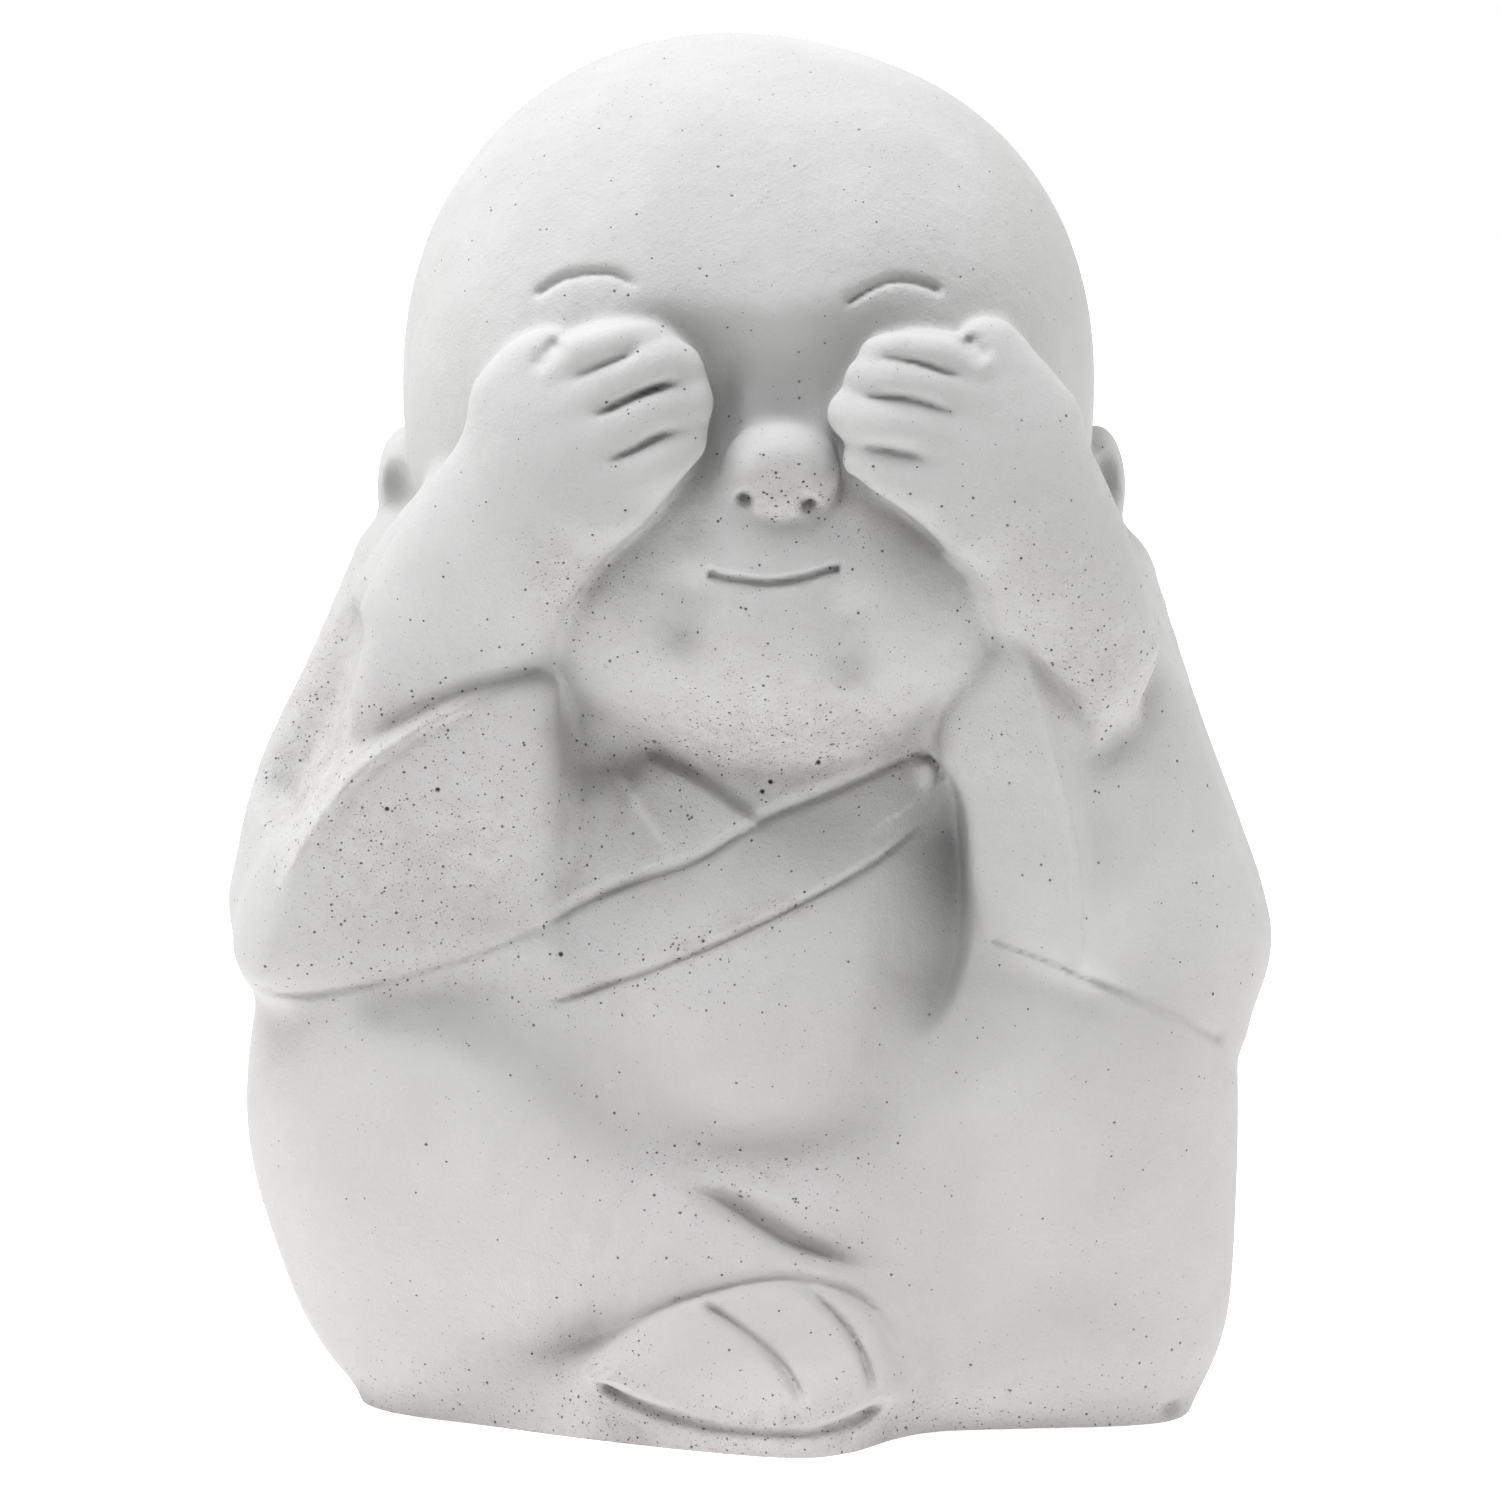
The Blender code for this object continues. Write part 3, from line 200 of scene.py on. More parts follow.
FOOT_OUTLINE = (
    (-12.1, 1.7), (-10.9, 3.3), (-7.7, 6.2), (-3.6, 8.1), (2.2, 8.8), (7.3, 7.6), (10.1, 4.5),
    (10.7, 0.6), (7.3, -0.8), (2.9, -1.6), (-2.2, -1.4), (-7.3, -0.2),
)
FOOT = Cushion(FOOT_OUTLINE, -21, Slope(-22.2, 0, 0.35), back=-6, edge=4, blend=2)

# Left arm: the sleeve round the upper arm, the bare forearm and the sleeve's open end
LEFT_UPPER_ARM = Limb(
    (((-23.9, 60.7), 4, 5.3), ((-26.3, 52.3), 3, 6.4), ((-29.2, 44.3), 0, 7.1), ((-31.2, 37), -4, 6.8)),
    flatness=1.5,
)
LEFT_FOREARM = Limb(
    (
        ((-23.7, 46.5), -12.5, 6.8), ((-22.5, 53), -15.2, 7.1), ((-20.1, 59.2), -18, 7),
        ((-14, 68.4), -22.6, 6.6), ((-10.9, 71.7), -23, 5.6),
    ),
    blend=1.6,
    flatness=0.66,
)
LEFT_RIM = (
    (-35.6, 32.5), (-33.6, 37), (-31.8, 40.6), (-30.3, 43.4), (-27.7, 46.5), (-24.1, 49.4),
    (-19.7, 51.9), (-15, 53.9),
)
LEFT_SLEEVE_OUTLINE = (
    (-37.7, 34.8), (-37.4, 32), (-35.6, 30), (-29.9, 30.3), (-22.6, 32), (-15, 34.9), (-13.4, 37.7),
    (-13.1, 44.3), (-13.6, 51.1), (-15.1, 54.5), (-19.7, 53.8), (-25.5, 50.5), (-31.4, 46.5),
    (-35.6, 40.6),
)
LEFT_SLEEVE = Cushion(
    LEFT_SLEEVE_OUTLINE,
    -12,
    Ridge(LEFT_RIM, depth=-5.9, up=-0.3, left=0.6, right=0.18, bend=0.6),
    back=-2,
    edge=4.4,
)
LEFT_HAND_OUTLINE = (
    (-19.9, 74.1), (-18.8, 76), (-17.4, 77.4), (-15.8, 78.2), (-14.6, 78.2), (-14, 77.6),
    (-12.8, 77.5), (-10.8, 78.4), (-9, 78.8), (-7.3, 78.7), (-5.8, 78.1), (-4.3, 76.9),
    (-3.4, 75.3), (-3, 73.5), (-3.3, 71.4), (-3.9, 69.8), (-5.7, 67.3), (-7.3, 65.6), (-8.8, 64.3),
    (-10.9, 64.7), (-15, 67.6), (-19, 71.7),
)
LEFT_PALM = Cushion(LEFT_HAND_OUTLINE, -25, Slope(-25.8, -0.13, 0.03), back=-13, edge=2, blend=3.5)
LEFT_INDEX = Limb(
    (
        ((-14.2, 75.8), -25.3, 1.1), ((-12, 77.1), -26, 1.1), ((-9.6, 77.6), -26.2, 1.1),
        ((-7.8, 77.8), -25.5, 1),
    ),
    blend=1.5,
)
LEFT_MIDDLE = Limb(
    (
        ((-12.6, 73.6), -25.5, 1.4), ((-9.6, 74.9), -26.1, 1.6), ((-6.9, 76), -26.3, 1.6),
        ((-5.1, 75.9), -25.5, 1.3),
    ),
    blend=0.5,
)
LEFT_RING = Limb(
    (
        ((-11.8, 70.5), -25.5, 1.6), ((-9.3, 71.5), -25.9, 1.8), ((-6.9, 72.7), -26.3, 1.8),
        ((-4.5, 73.3), -25.7, 1.4),
    ),
    blend=0.5,
)
LEFT_LITTLE = Limb(
    (
        ((-10.9, 67.4), -25.3, 1.6), ((-8.4, 68.1), -25.7, 1.8), ((-6.2, 69.2), -26.1, 1.8),
        ((-4.5, 70), -25.5, 1.3),
    ),
    blend=0.5,
)
LEFT_FINGERS = Group((LEFT_INDEX, LEFT_MIDDLE, LEFT_RING, LEFT_LITTLE), blend=1.2)
LEFT_ARM = Group((LEFT_FOREARM, LEFT_PALM, LEFT_FINGERS), blend=0.8)
LEFT_WEB = Limb((((-25.5, 51.6), -5, 6), ((-22.6, 58.9), -8, 6), ((-19.3, 64.7), -12, 5)), blend=3)
LEFT_DRAPE = Group((LEFT_UPPER_ARM, LEFT_WEB, LEFT_SLEEVE), blend=2.5)

# Right arm, whose sleeve has slipped down to a crest below the forearm
RIGHT_UPPER_ARM = Limb(
    (((24.2, 59.6), 4, 5.6), ((26.2, 49), 3, 6.9), ((29.3, 38.4), 0, 7.6), ((30.3, 34.4), -3, 7.6)),
    flatness=1.5,
)
RIGHT_FOREARM = Limb(
    (
        ((25.8, 51.6), -16.4, 3.4), ((24.7, 55.4), -17.8, 5), ((21.2, 62.9), -20.8, 6),
        ((17.9, 69), -23, 6.1), ((15.7, 71.3), -23.2, 5.4),
    ),
    blend=1,
    flatness=0.66,
)
RIGHT_CREST = (
    (19.1, 58.9), (20.4, 54.5), (22, 48.7), (23.5, 42.7), (24.2, 37), (24.1, 29.7),
)
RIGHT_SLEEVE_OUTLINE = (
    (19, 58), (22.6, 60), (27, 58.1), (30.7, 54.5), (33.2, 48.7), (35.9, 40.6), (37.5, 34.1),
    (36.8, 29), (34.7, 26.2), (26.3, 30.7), (18.2, 33.9), (15.8, 38.4), (15.3, 44.3), (13.7, 48.3),
    (14.5, 52.3), (17.2, 56),
)
RIGHT_SLEEVE = Cushion(
    RIGHT_SLEEVE_OUTLINE,
    -12,
    Ridge(RIGHT_CREST, depth=-14.3, up=-0.13, left=0.7, right=0.3, bend=0.2),
    back=-2,
    edge=2.6,
    blend=2,
)
RIGHT_HAND_OUTLINE = (
    (8.2, 76.6), (9.3, 77.8), (10.4, 78.1), (12.5, 78.2), (14.2, 77.9), (15.5, 77.7), (16, 78.4),
    (16.6, 79), (17.4, 79.2), (18.6, 79), (19.6, 78.1), (20.5, 76.5), (22, 74.3), (23.1, 72.4),
    (21.5, 69.8), (19, 66.2), (15.7, 62.9), (14.7, 63.5), (13.2, 64.7), (11.3, 65.8), (9.6, 67.1),
    (8.6, 67.9), (7.6, 69.2), (7.2, 70.2), (6.3, 71.5), (6.1, 72.6), (6.6, 73.9), (7.5, 75.2),
)
RIGHT_PALM = Cushion(RIGHT_HAND_OUTLINE, -25, Slope(-25.8, 0.13, 0.03), back=-13, edge=2, blend=3.5)
RIGHT_INDEX = Limb(
    (
        ((9.1, 76.9), -25.3, 0.9), ((10.9, 77.1), -26.2, 1.1), ((13.5, 76.8), -26.3, 1.1),
        ((16.4, 75.9), -25.7, 1.1),
    ),
    blend=1.5,
)
RIGHT_MIDDLE = Limb(
    (
        ((8.2, 75.1), -25.5, 1.1), ((9.9, 75), -26.3, 1.4), ((12.8, 74.6), -26.4, 1.4),
        ((16.1, 73.5), -25.7, 1.4),
    ),
    blend=0.5,
)
RIGHT_RING = Limb(
    (
        ((7.2, 72.5), -25.5, 1.3), ((9.1, 71.9), -26.1, 1.8), ((12, 71.5), -26.1, 1.8),
        ((15.3, 70.6), -25.3, 1.7),
    ),
    blend=0.5,
)
RIGHT_LITTLE = Limb(
    (
        ((8, 68.9), -25.5, 1.2), ((10.2, 68), -25.7, 1.7), ((12.8, 67.2), -25.7, 1.7),
        ((15.3, 66.5), -24.9, 1.6),
    ),
    blend=0.5,
)
RIGHT_FINGERS = Group((RIGHT_INDEX, RIGHT_MIDDLE, RIGHT_RING, RIGHT_LITTLE), blend=1.2)
RIGHT_ARM = Group((RIGHT_FOREARM, RIGHT_PALM, RIGHT_FINGERS), blend=0.8)
RIGHT_WEB = Limb((((25.5, 51.6), -5, 6), ((22.6, 58.9), -8, 6), ((19, 64.7), -12, 5)), blend=3)
RIGHT_DRAPE = Group((RIGHT_UPPER_ARM, RIGHT_WEB, RIGHT_SLEEVE), blend=2.5)

SEATED = Group((LEGS, UNDERSIDE, CORNER_CHIP), blend=3)
FIGURE = Group((TRUNK, SEATED, FOOT, LEFT_DRAPE, RIGHT_DRAPE, HEAD, LEFT_ARM, RIGHT_ARM), blend=0)

# Carved lines. A groove has its own width on each side of its line, the soft side first for a line
# that runs to the right. A ledge raises the ground on the line's left as the front view shows it.
MOUTH = ((-3.2, 61), (-2.2, 60.7), (-0.7, 60.5), (1.3, 60.3), (3.6, 60.6), (5.5, 61.1), (6.8, 61.2))
LEFT_BROW = (
    (-16.1, 80.6), (-14.8, 81.5), (-13.6, 82.2), (-12.2, 82.5), (-10.9, 82.6), (-9.6, 82.4),
    (-8, 81.5),
)
RIGHT_BROW = ((6.7, 80.3), (7.9, 81), (9.2, 81.7), (10.6, 82.1), (11.8, 82), (13.1, 81.6), (14.2, 81))
LAPEL_TOP = (
    (13.9, 48.3), (9.5, 46.3), (5.1, 44.5), (0.7, 42.7), (-3.6, 40), (-8, 38.4), (-11.7, 36.9),
    (-15.9, 34.5),
)
LAPEL_FOOT = ((-16.4, 28.8), (-10.9, 30.4), (-3.6, 33.3), (3.6, 36.6), (9.5, 39.7), (14.2, 43.4))
COLLAR = ((1.1, 42.5), (-1.1, 44), (-3.6, 45.7), (-8, 47.7))
INNER_FOLD = ((-10.2, 46.6), (-8.2, 43.8), (-5.5, 40))
RIM_CREVICE = (
    (-15, 55.4), (-16.7, 54.1), (-19.2, 53.6), (-21.7, 52.5), (-24.3, 51.1), (-26.4, 49.6),
    (-28.3, 47.9),
)
RIM_RIDGE = (
    (-17.9, 52.6), (-22.1, 50.9), (-25, 49.3), (-27.4, 47.6), (-29.3, 45.8), (-31.5, 42.7),
    (-32.8, 40.6), (-35, 36.3),
)
LEFT_CREASE = ((-36.5, 30), (-33.6, 29.8), (-29.9, 30.2), (-22.6, 32.1), (-18.2, 33.6), (-14.7, 35.2))
RIGHT_CREASE = ((17.2, 34.2), (21.9, 32.7), (26.3, 30.7), (30.7, 28.4), (35, 25.9))
TOES = (
    ((-3.6, 7.2), (-1.1, 5.6), (1.1, 4), (2.9, 2.1), (4.1, 0.3)),
    ((3.3, 8.5), (5.5, 6.9), (7.3, 4.9), (8.5, 2.7), (9, 0.5)),
)
SOLE = (
    (-12, 1.7), (-9.5, 0.3), (-5.8, -0.8), (-2.2, -1.5), (3.6, -1.6), (8, -0.8), (10.4, 0.3),
)
FINGER_GAPS = (
    (((-13.4, 74.6), (-11.7, 75.5), (-9.9, 76.3), (-7.7, 77.1)), 0.35),
    (((-12, 72), (-10.4, 72.7), (-8, 73.8), (-5.7, 74.6), (-4.8, 74.7)), 0.8),
    (((-10.9, 68.9), (-8.6, 69.7), (-6.9, 70.6), (-5.1, 71.4)), 0.6),
    (((8.8, 76.3), (10.6, 76.5), (12.3, 76.2), (14.1, 75.5), (16.1, 74.9)), 0.35),
    (((7.7, 73.6), (9.2, 73.7), (11.5, 73.6), (13.4, 73), (15.8, 72.2)), 0.35),
    (((7.7, 70.3), (9.2, 70), (10.6, 69.7), (13.1, 69.1)), 0.35),
)
THUMB_NOTCHES = (((-13.6, 78), (-14.5, 77), (-16.1, 75.4)), ((15.8, 78.3), (16.4, 77.1), (17.4, 76.1)))
SMILE_LINES = (
    ((-2.6, 62.1), (-3.4, 60.5), (-4, 58.6), (-4.5, 56.4), (-4.9, 53.9)),
    ((6.6, 61.1), (7.2, 58.7), (7.5, 56.4), (7.7, 54.1), (7.4, 51.6)),
)
NOSTRILS = (((-0.8, 66.8), (-0.3, 66.3), (0.4, 66.1)), ((3.4, 65.9), (4.2, 65.9), (4.7, 66.4)))
HEM_LINE = (
    (-6.9, 16.7), (-3.6, 15.6), (-0.4, 13.9), (2.9, 11.9), (6.6, 10.6), (10.4, 9.8),
)
GAP_LINE = ((12.8, 46.6), (14.5, 45), (15.1, 41.4), (15.4, 37), (15.1, 32.6), (13.7, 29), (10.9, 26.2))
DRAPE_LINE = ((-29.1, 58.9), (-29.6, 55.6), (-30.7, 51.6), (-32.1, 47.9), (-33.6, 45.2), (-35.3, 41.8))
ARM_LINE = ((-13.9, 53), (-12.9, 48.7), (-12.5, 44.3), (-12.8, 39.9), (-14.2, 35.9))
LEFT_HAND_EDGE = (
    (-2.8, 73.5), (-3, 70.6), (-4.7, 67.8), (-7.2, 64.9), (-10.1, 62.1), (-12.8, 58.9),
    (-14.2, 55.6),
)
RIGHT_HAND_EDGE = ((6.4, 70.6), (8.2, 67.5), (10.9, 65.3), (13.9, 63), (16.4, 60.5), (18.2, 57.3))
FOOT_EDGE = (
    (-11.4, 2.8), (-8, 6.2), (-3.6, 8.3), (2.2, 9.2), (7.3, 8), (10.1, 5), (10.9, 1.1),
)
ELBOW_LINE = (
    (18.8, 58.3), (19.9, 56.5), (21.2, 54.2), (23.2, 51.9), (24.7, 48.8),
)
ELBOW_FOOT = ((23.4, 50.8), (25.3, 47.8), (27.3, 49.5), (28.9, 52.3), (29.9, 56))
CREST_VALLEY = ((21.5, 53), (23.2, 47.2), (24.6, 42.1), (25.3, 36.3))
BLEMISH_RIM = ((11.9, 47.3), (12.7, 47.4), (13.4, 47.1), (13.9, 46.4), (13.9, 45.7), (13.6, 45))
BLEMISH = ((12.3, 47.1), (12.8, 46.5), (13.1, 45.7), (13.1, 44.9))
# The back, plainer than the front: the neckband, the sash down from the shoulder, and folds below it
NECKBAND = ((-20, 52.5), (-12, 48.5), (0, 46.8), (12, 48.5), (20, 52.5))
SASH_TOP = ((26, 44), (14, 39), (0, 31), (-14, 23), (-26, 18))
SASH_FOOT = ((28, 35), (14, 30), (0, 22), (-14, 15), (-24, 11))
FOLDS = (((-16, 12), (-4, 17), (8, 20), (18, 26)), ((-8, 6), (4, 10), (14, 12), (24, 17)))
CARVING = (
    Groove(NECKBAND, 18, cut=0.5, left=0.4, right=0.8),
    Groove(SASH_TOP, 20, cut=0.5, left=0.9, right=0.35),
    Groove(SASH_FOOT, 20, cut=0.5, left=0.9, right=0.35),
    *(Groove(line, 20, cut=0.5, left=2, right=1.2, fade=0.4) for line in FOLDS),
    *(Groove(line, -22, cut=1.3, left=1.6, right=2, fade=0.4) for line in SMILE_LINES),
    *(Groove(line, -27, cut=0.9, left=0.5, right=0.5, fade=0.3) for line in NOSTRILS),
    Groove(HEM_LINE, -18, cut=1.1, left=1.2, right=0.6, fade=0.35),
    Groove(GAP_LINE, -16, cut=2, left=0.6, right=3.6, fade=0.3),
    Groove(ARM_LINE, -14, cut=0.8, left=1.4, right=1.3, fade=0.2),
    Groove(LEFT_HAND_EDGE, -20, cut=0.5, left=1, right=0.4, fade=0.3),
    Groove(RIGHT_HAND_EDGE, -20, cut=0.5, left=0.4, right=1, fade=0.3),
    Groove(DRAPE_LINE, -12, cut=3.4, left=1.2, right=2.4, fade=0.15),
    Groove(ELBOW_LINE, -18, cut=0.65, left=0.35, right=0.9, fade=0.3),
    Groove(ELBOW_FOOT, -18, cut=0.7, left=1.3, right=1.3, fade=0.35),
    Groove(CREST_VALLEY, -18, cut=0.8, left=2, right=0.8, fade=0.4),
    Groove(RIGHT_CREST, -18, cut=-0.6, left=0.6, right=0.4, fade=0.25),
    *(Groove(line, -27, cut=0.5, left=0.7, right=0.7, fade=0.3) for line in THUMB_NOTCHES),
    Ledge(MOUTH, -24, rise=0.45, width=0.3, reach=1.6, fade=0.2),
    Groove(MOUTH, -24, cut=0.9, left=0.3, right=0.35, fade=0.04),
    Groove(LEFT_BROW, -22, cut=0.6, left=0.4, right=0.18, fade=0.15),
    Groove(RIGHT_BROW, -22, cut=0.6, left=0.4, right=0.18, fade=0.1),
    Ledge(LAPEL_TOP, -16, rise=-0.6, width=0.35, reach=4),
    Groove(LAPEL_TOP[::-1], -16, cut=0.7, left=0.5, right=0.3),
    Ledge(LAPEL_FOOT, -18, rise=0.3, width=0.3, reach=5),
    Groove(LAPEL_FOOT, -18, cut=0.6, left=0.3, right=0.25),
    Ledge(COLLAR, -16, rise=0.7, width=0.4, reach=4),
    Groove(COLLAR[::-1], -16, cut=0.4, left=0.7, right=0.25),
    Ledge(INNER_FOLD, -16, rise=0.35, width=0.35, reach=2.5, fade=0.25),
    Groove(BLEMISH, -14, cut=-0.35, left=0.6, right=0.6, fade=0.2),
    Groove(BLEMISH_RIM, -14, cut=0.5, left=0.2, right=0.2, fade=0.2),
    Groove(RIM_CREVICE, -18, cut=0.5, left=0.8, right=0.4, fade=0.3),
    Groove(RIM_RIDGE, -18, cut=-0.8, left=0.55, right=0.5, fade=0.15),
    Groove(LEFT_CREASE, -16, cut=0.3, left=0.6, right=0.25, fade=0.05),
    Groove(RIGHT_CREASE, -16, cut=0.3, left=0.6, right=0.25, fade=0.05),
    Groove(FOOT_EDGE, -20, cut=0.75, left=0.5, right=0.4, fade=0.35),
    *(Groove(line, -23, cut=0.7, left=0.3, right=0.4) for line in TOES),
    Groove(SOLE, -23, cut=0.8, left=0.35, right=0.5, fade=0.1),
    *(Groove(line, -27, cut=cut, left=0.35, right=0.2, fade=0.3) for line, cut in FINGER_GAPS),
)
# A line is cut only on its own side of the figure, front or back, fading in over this depth
CARVING_BEGINS = 1
CARVING_FADE = 3
# How many straight pieces each stretch of a curve has, and each of a cushion's outline
CURVE_STEPS, OUTLINE_STEPS = 4, 6
FAR = np.float32(1e9)
TINY = 1e-9


def smooth_curve(points, steps):
    """A Catmull-Rom curve through the points, with this many steps between each two."""
    points = np.asarray(points, float)
    ends = np.vstack([2 * points[0] - points[1], points, 2 * points[-1] - points[-2]])
    pieces = [ends[i : i + 4] for i in range(len(points) - 1)]
    curve = [catmull_rom(piece, step / steps) for piece in pieces for step in range(steps)]
    return np.array([*curve, points[-1]])


def closed_curve(points, steps):
    """The same kind of curve, closed."""
    points = np.asarray(points, float)
    around = np.vstack([points[-1:], points, points[:2]])
    pieces = [around[i : i + 4] for i in range(len(points))]
    return np.array([catmull_rom(piece, step / steps) for piece in pieces for step in range(steps)])


def catmull_rom(four, t):
    a, b, c, d = four
    slope = (c - a) * t
    bend = (2 * a - 5 * b + 4 * c - d) * t**2 + (3 * b - a - 3 * c + d) * t**3
    return b + (slope + bend) / 2


def join(a, b, blend):
    """Both forms as one, with the corner between them filled over the blend."""
    if not blend:
        return np.minimum(a, b)
    near = np.maximum(blend - np.abs(a - b), 0) / blend
    return np.minimum(a, b) - near * near * blend / 4


def overlap(a, b, blend):
    """What both forms share, with its corner rounded over the blend."""
    return -join(-a, -b, blend)


def ball_distance(p, form):
    parts = [np.abs(p[i] - form.middle[i]) / form.half[i] for i in range(3)]
    reach = sum(part**form.power for part in parts) ** (1 / form.power) + TINY
    spread = np.sqrt(sum((part / half) ** 2 for part, half in zip(parts, form.half))) + TINY
    return reach * (reach - 1) / spread


def limb_distance(p, form):
    """Round cones along a smooth route, flattened from front to back."""
    nodes = [(*seen(*place, depth), radius) for place, depth, radius in form.nodes]
    route = smooth_curve(nodes, CURVE_STEPS)
    route[:, 1] /= form.flatness
    q = (p[0], p[1] / form.flatness, p[2])
    total = None
    for a, b in zip(route[:-1], route[1:]):
        along = b[:3] - a[:3]
        share = sum((q[i] - a[i]) * along[i] for i in range(3)) / along.dot(along)
        share = np.clip(share, 0, 1)
        gap = np.sqrt(sum((q[i] - a[i] - share * along[i]) ** 2 for i in range(3)))
        near = gap - (a[3] + (b[3] - a[3]) * share)
        total = near if total is None else np.minimum(total, near)
    return total * (1 + form.flatness) / 2


def outline_distance(x, z, outline):
    """Distance in a plane to a closed outline, below zero inside it."""
    nearest = FAR
    inside = False
    for a, b in zip(outline, np.roll(outline, -1, axis=0)):
        along = b - a
        gap_x, gap_z = x - a[0], z - a[1]
        share = np.clip((gap_x * along[0] + gap_z * along[1]) / along.dot(along), 0, 1)
        gap = (gap_x - share * along[0]) ** 2 + (gap_z - share * along[1]) ** 2
        nearest = np.minimum(nearest, gap)
        if along[1]:
            crosses = ((a[1] <= z) != (b[1] <= z)) & (gap_x < gap_z * along[0] / along[1])
            inside = inside ^ crosses
    return np.sqrt(nearest) * np.where(inside, -1, 1)


def line_distance(p, line, depth):
    """Distance to a line as the front view shows it, the share of the way along, and the side."""
    places = [seen(*place, depth) for place in line]
    route = smooth_curve(places, CURVE_STEPS)[:, (0, 2)]
    lengths = np.linalg.norm(np.diff(route, axis=0), axis=1)
    nearest, side, share_along, done = FAR, np.float32(0), np.float32(0), 0.0
    for a, b, length in zip(route[:-1], route[1:], lengths):
        along = b - a
        gap_x, gap_z = p[0] - a[0], p[2] - a[1]
        share = np.clip((gap_x * along[0] + gap_z * along[1]) / along.dot(along), 0, 1)
        gap = (gap_x - share * along[0]) ** 2 + (gap_z - share * along[1]) ** 2
        closer = gap < nearest
        nearest = np.where(closer, gap, nearest)
        side = np.where(closer, along[0] * gap_z - along[1] * gap_x, side)
        share_along = np.where(closer, (done + length * share) / lengths.sum(), share_along)
        done += length
    return np.sqrt(nearest), share_along, side


def front_of(p, front, outline):
    """The depth of a cushion's front: a slope, or a ridge with its own slope on each side."""
    if isinstance(front, Slope):
        middle = outline.mean(axis=0)
        return front.depth + front.across * (p[0] - middle[0]) + front.up * (p[2] - middle[1])
    gap, _, side = line_distance(p, front.line, front.depth)
    gap = np.where(side > 0, gap, -gap)
    fall = (front.left + front.right) / 2 * (np.sqrt(gap**2 + front.bend**2) - front.bend)
    return front.depth + front.up * p[2] + fall + (front.left - front.right) / 2 * gap


def cushion_distance(p, form):
    """An outline as the front view shows it, with a front, a back and rounded edges."""
    places = [seen(*place, form.depth) for place in form.outline]
    outline = closed_curve(places, OUTLINE_STEPS)[:, (0, 2)]
    side = outline_distance(p[0], p[2], outline)
    face = np.maximum(front_of(p, form.front, outline) - p[1], p[1] - form.back)
    return overlap(side, face, form.edge)


def slice_distance(p, form):
    """What lies behind a sloped plane."""
    gap = [p[i] - form.middle[i] for i in range(3)]
    return gap[1] - form.across * gap[0] - form.up * gap[2]


def plate_distance(p, form):
    """An outline as seen from above, up to a flat top."""
    side = outline_distance(p[0], p[1], closed_curve(form.outline, CURVE_STEPS))
    return overlap(side, p[2] - form.top, form.edge)


def group_distance(p, group):
    """The forms of a group, joined in turn, with the hollow ones taken away."""
    total = None
    for form in group.forms:
        near = DISTANCES[type(form)](p, form)
        if total is None:
            total = near
        elif getattr(form, "hollow", False):
            total = overlap(total, -near, form.blend)
        else:
            total = join(total, near, form.blend)
    return total


DISTANCES = {
    Ball: ball_distance,
    Limb: limb_distance,
    Cushion: cushion_distance,
    Plate: plate_distance,
    Slice: slice_distance,
    Group: group_distance,
}


def soft_step(value):
    value = np.clip(value, 0, 1)
    return value * value * (3 - 2 * value)


def carved(total, p, carving):
    """The forms with the carved lines cut or raised, each on its own side, front or back."""
    for mark in carving:
        nearer = -p[1] if mark.depth < 0 else p[1]
        facing = np.clip((nearer - CARVING_BEGINS) / CARVING_FADE, 0, 1)
        gap, along, side = line_distance(p, mark.line, mark.depth)
        strength = soft_step(np.minimum(along, 1 - along) / mark.fade) * facing
        if isinstance(mark, Groove):
            width = np.where(side > 0, mark.left, mark.right)
            total = total + mark.cut * np.exp(-((gap / width) ** 2)) * strength
        else:
            gap = np.where(side > 0, gap, -gap)
            rise = soft_step(gap / mark.width / 2 + 0.5) * np.exp(-np.maximum(gap, 0) / mark.reach)
            total = total - mark.rise * rise * strength
    return total


# The space that holds the figure, the size of its cells and how many cells a block has each way
GRID_LOW = (-42, -33, -3)
GRID_HIGH = (42, 29, 102)
FINE_STEP = 0.28
BLOCK_CELLS = 40
KEPT_TRIANGLES = 190000
# How far the forms that matter to a block can be from it, as a share of its radius and a length
DISTANCE_SLACK = 1.5
BLEND_REACH = 7
LINE_REACH = 4


def pruned(form, centre, radius):
    """The form with only those of its own that matter near this place, or None."""
    if not isinstance(form, Group):
        near = DISTANCES[type(form)](centre, form) < radius * DISTANCE_SLACK + BLEND_REACH
        return form if near else None
    kept = [part for part in (pruned(part, centre, radius) for part in form.forms) if part]
    while kept and getattr(kept[0], "hollow", False):
        kept.pop(0)
    return form._replace(forms=tuple(kept)) if kept else None


def near_lines(centre, radius):
    """The carved lines that reach this place."""
    kept = []
    for mark in CARVING:
        if isinstance(mark, Groove):
            reach = LINE_REACH * max(mark.left, mark.right)
        else:
            reach = LINE_REACH * mark.reach
        facing = centre[1] * mark.depth > -radius * abs(mark.depth)
        if facing and line_distance(centre, mark.line, mark.depth)[0] < radius + reach:
            kept.append(mark)
    return kept


def figure_distance(p, form, lines):
    total = carved(group_distance(p, form), p, lines)
    return np.maximum(total, -p[2])


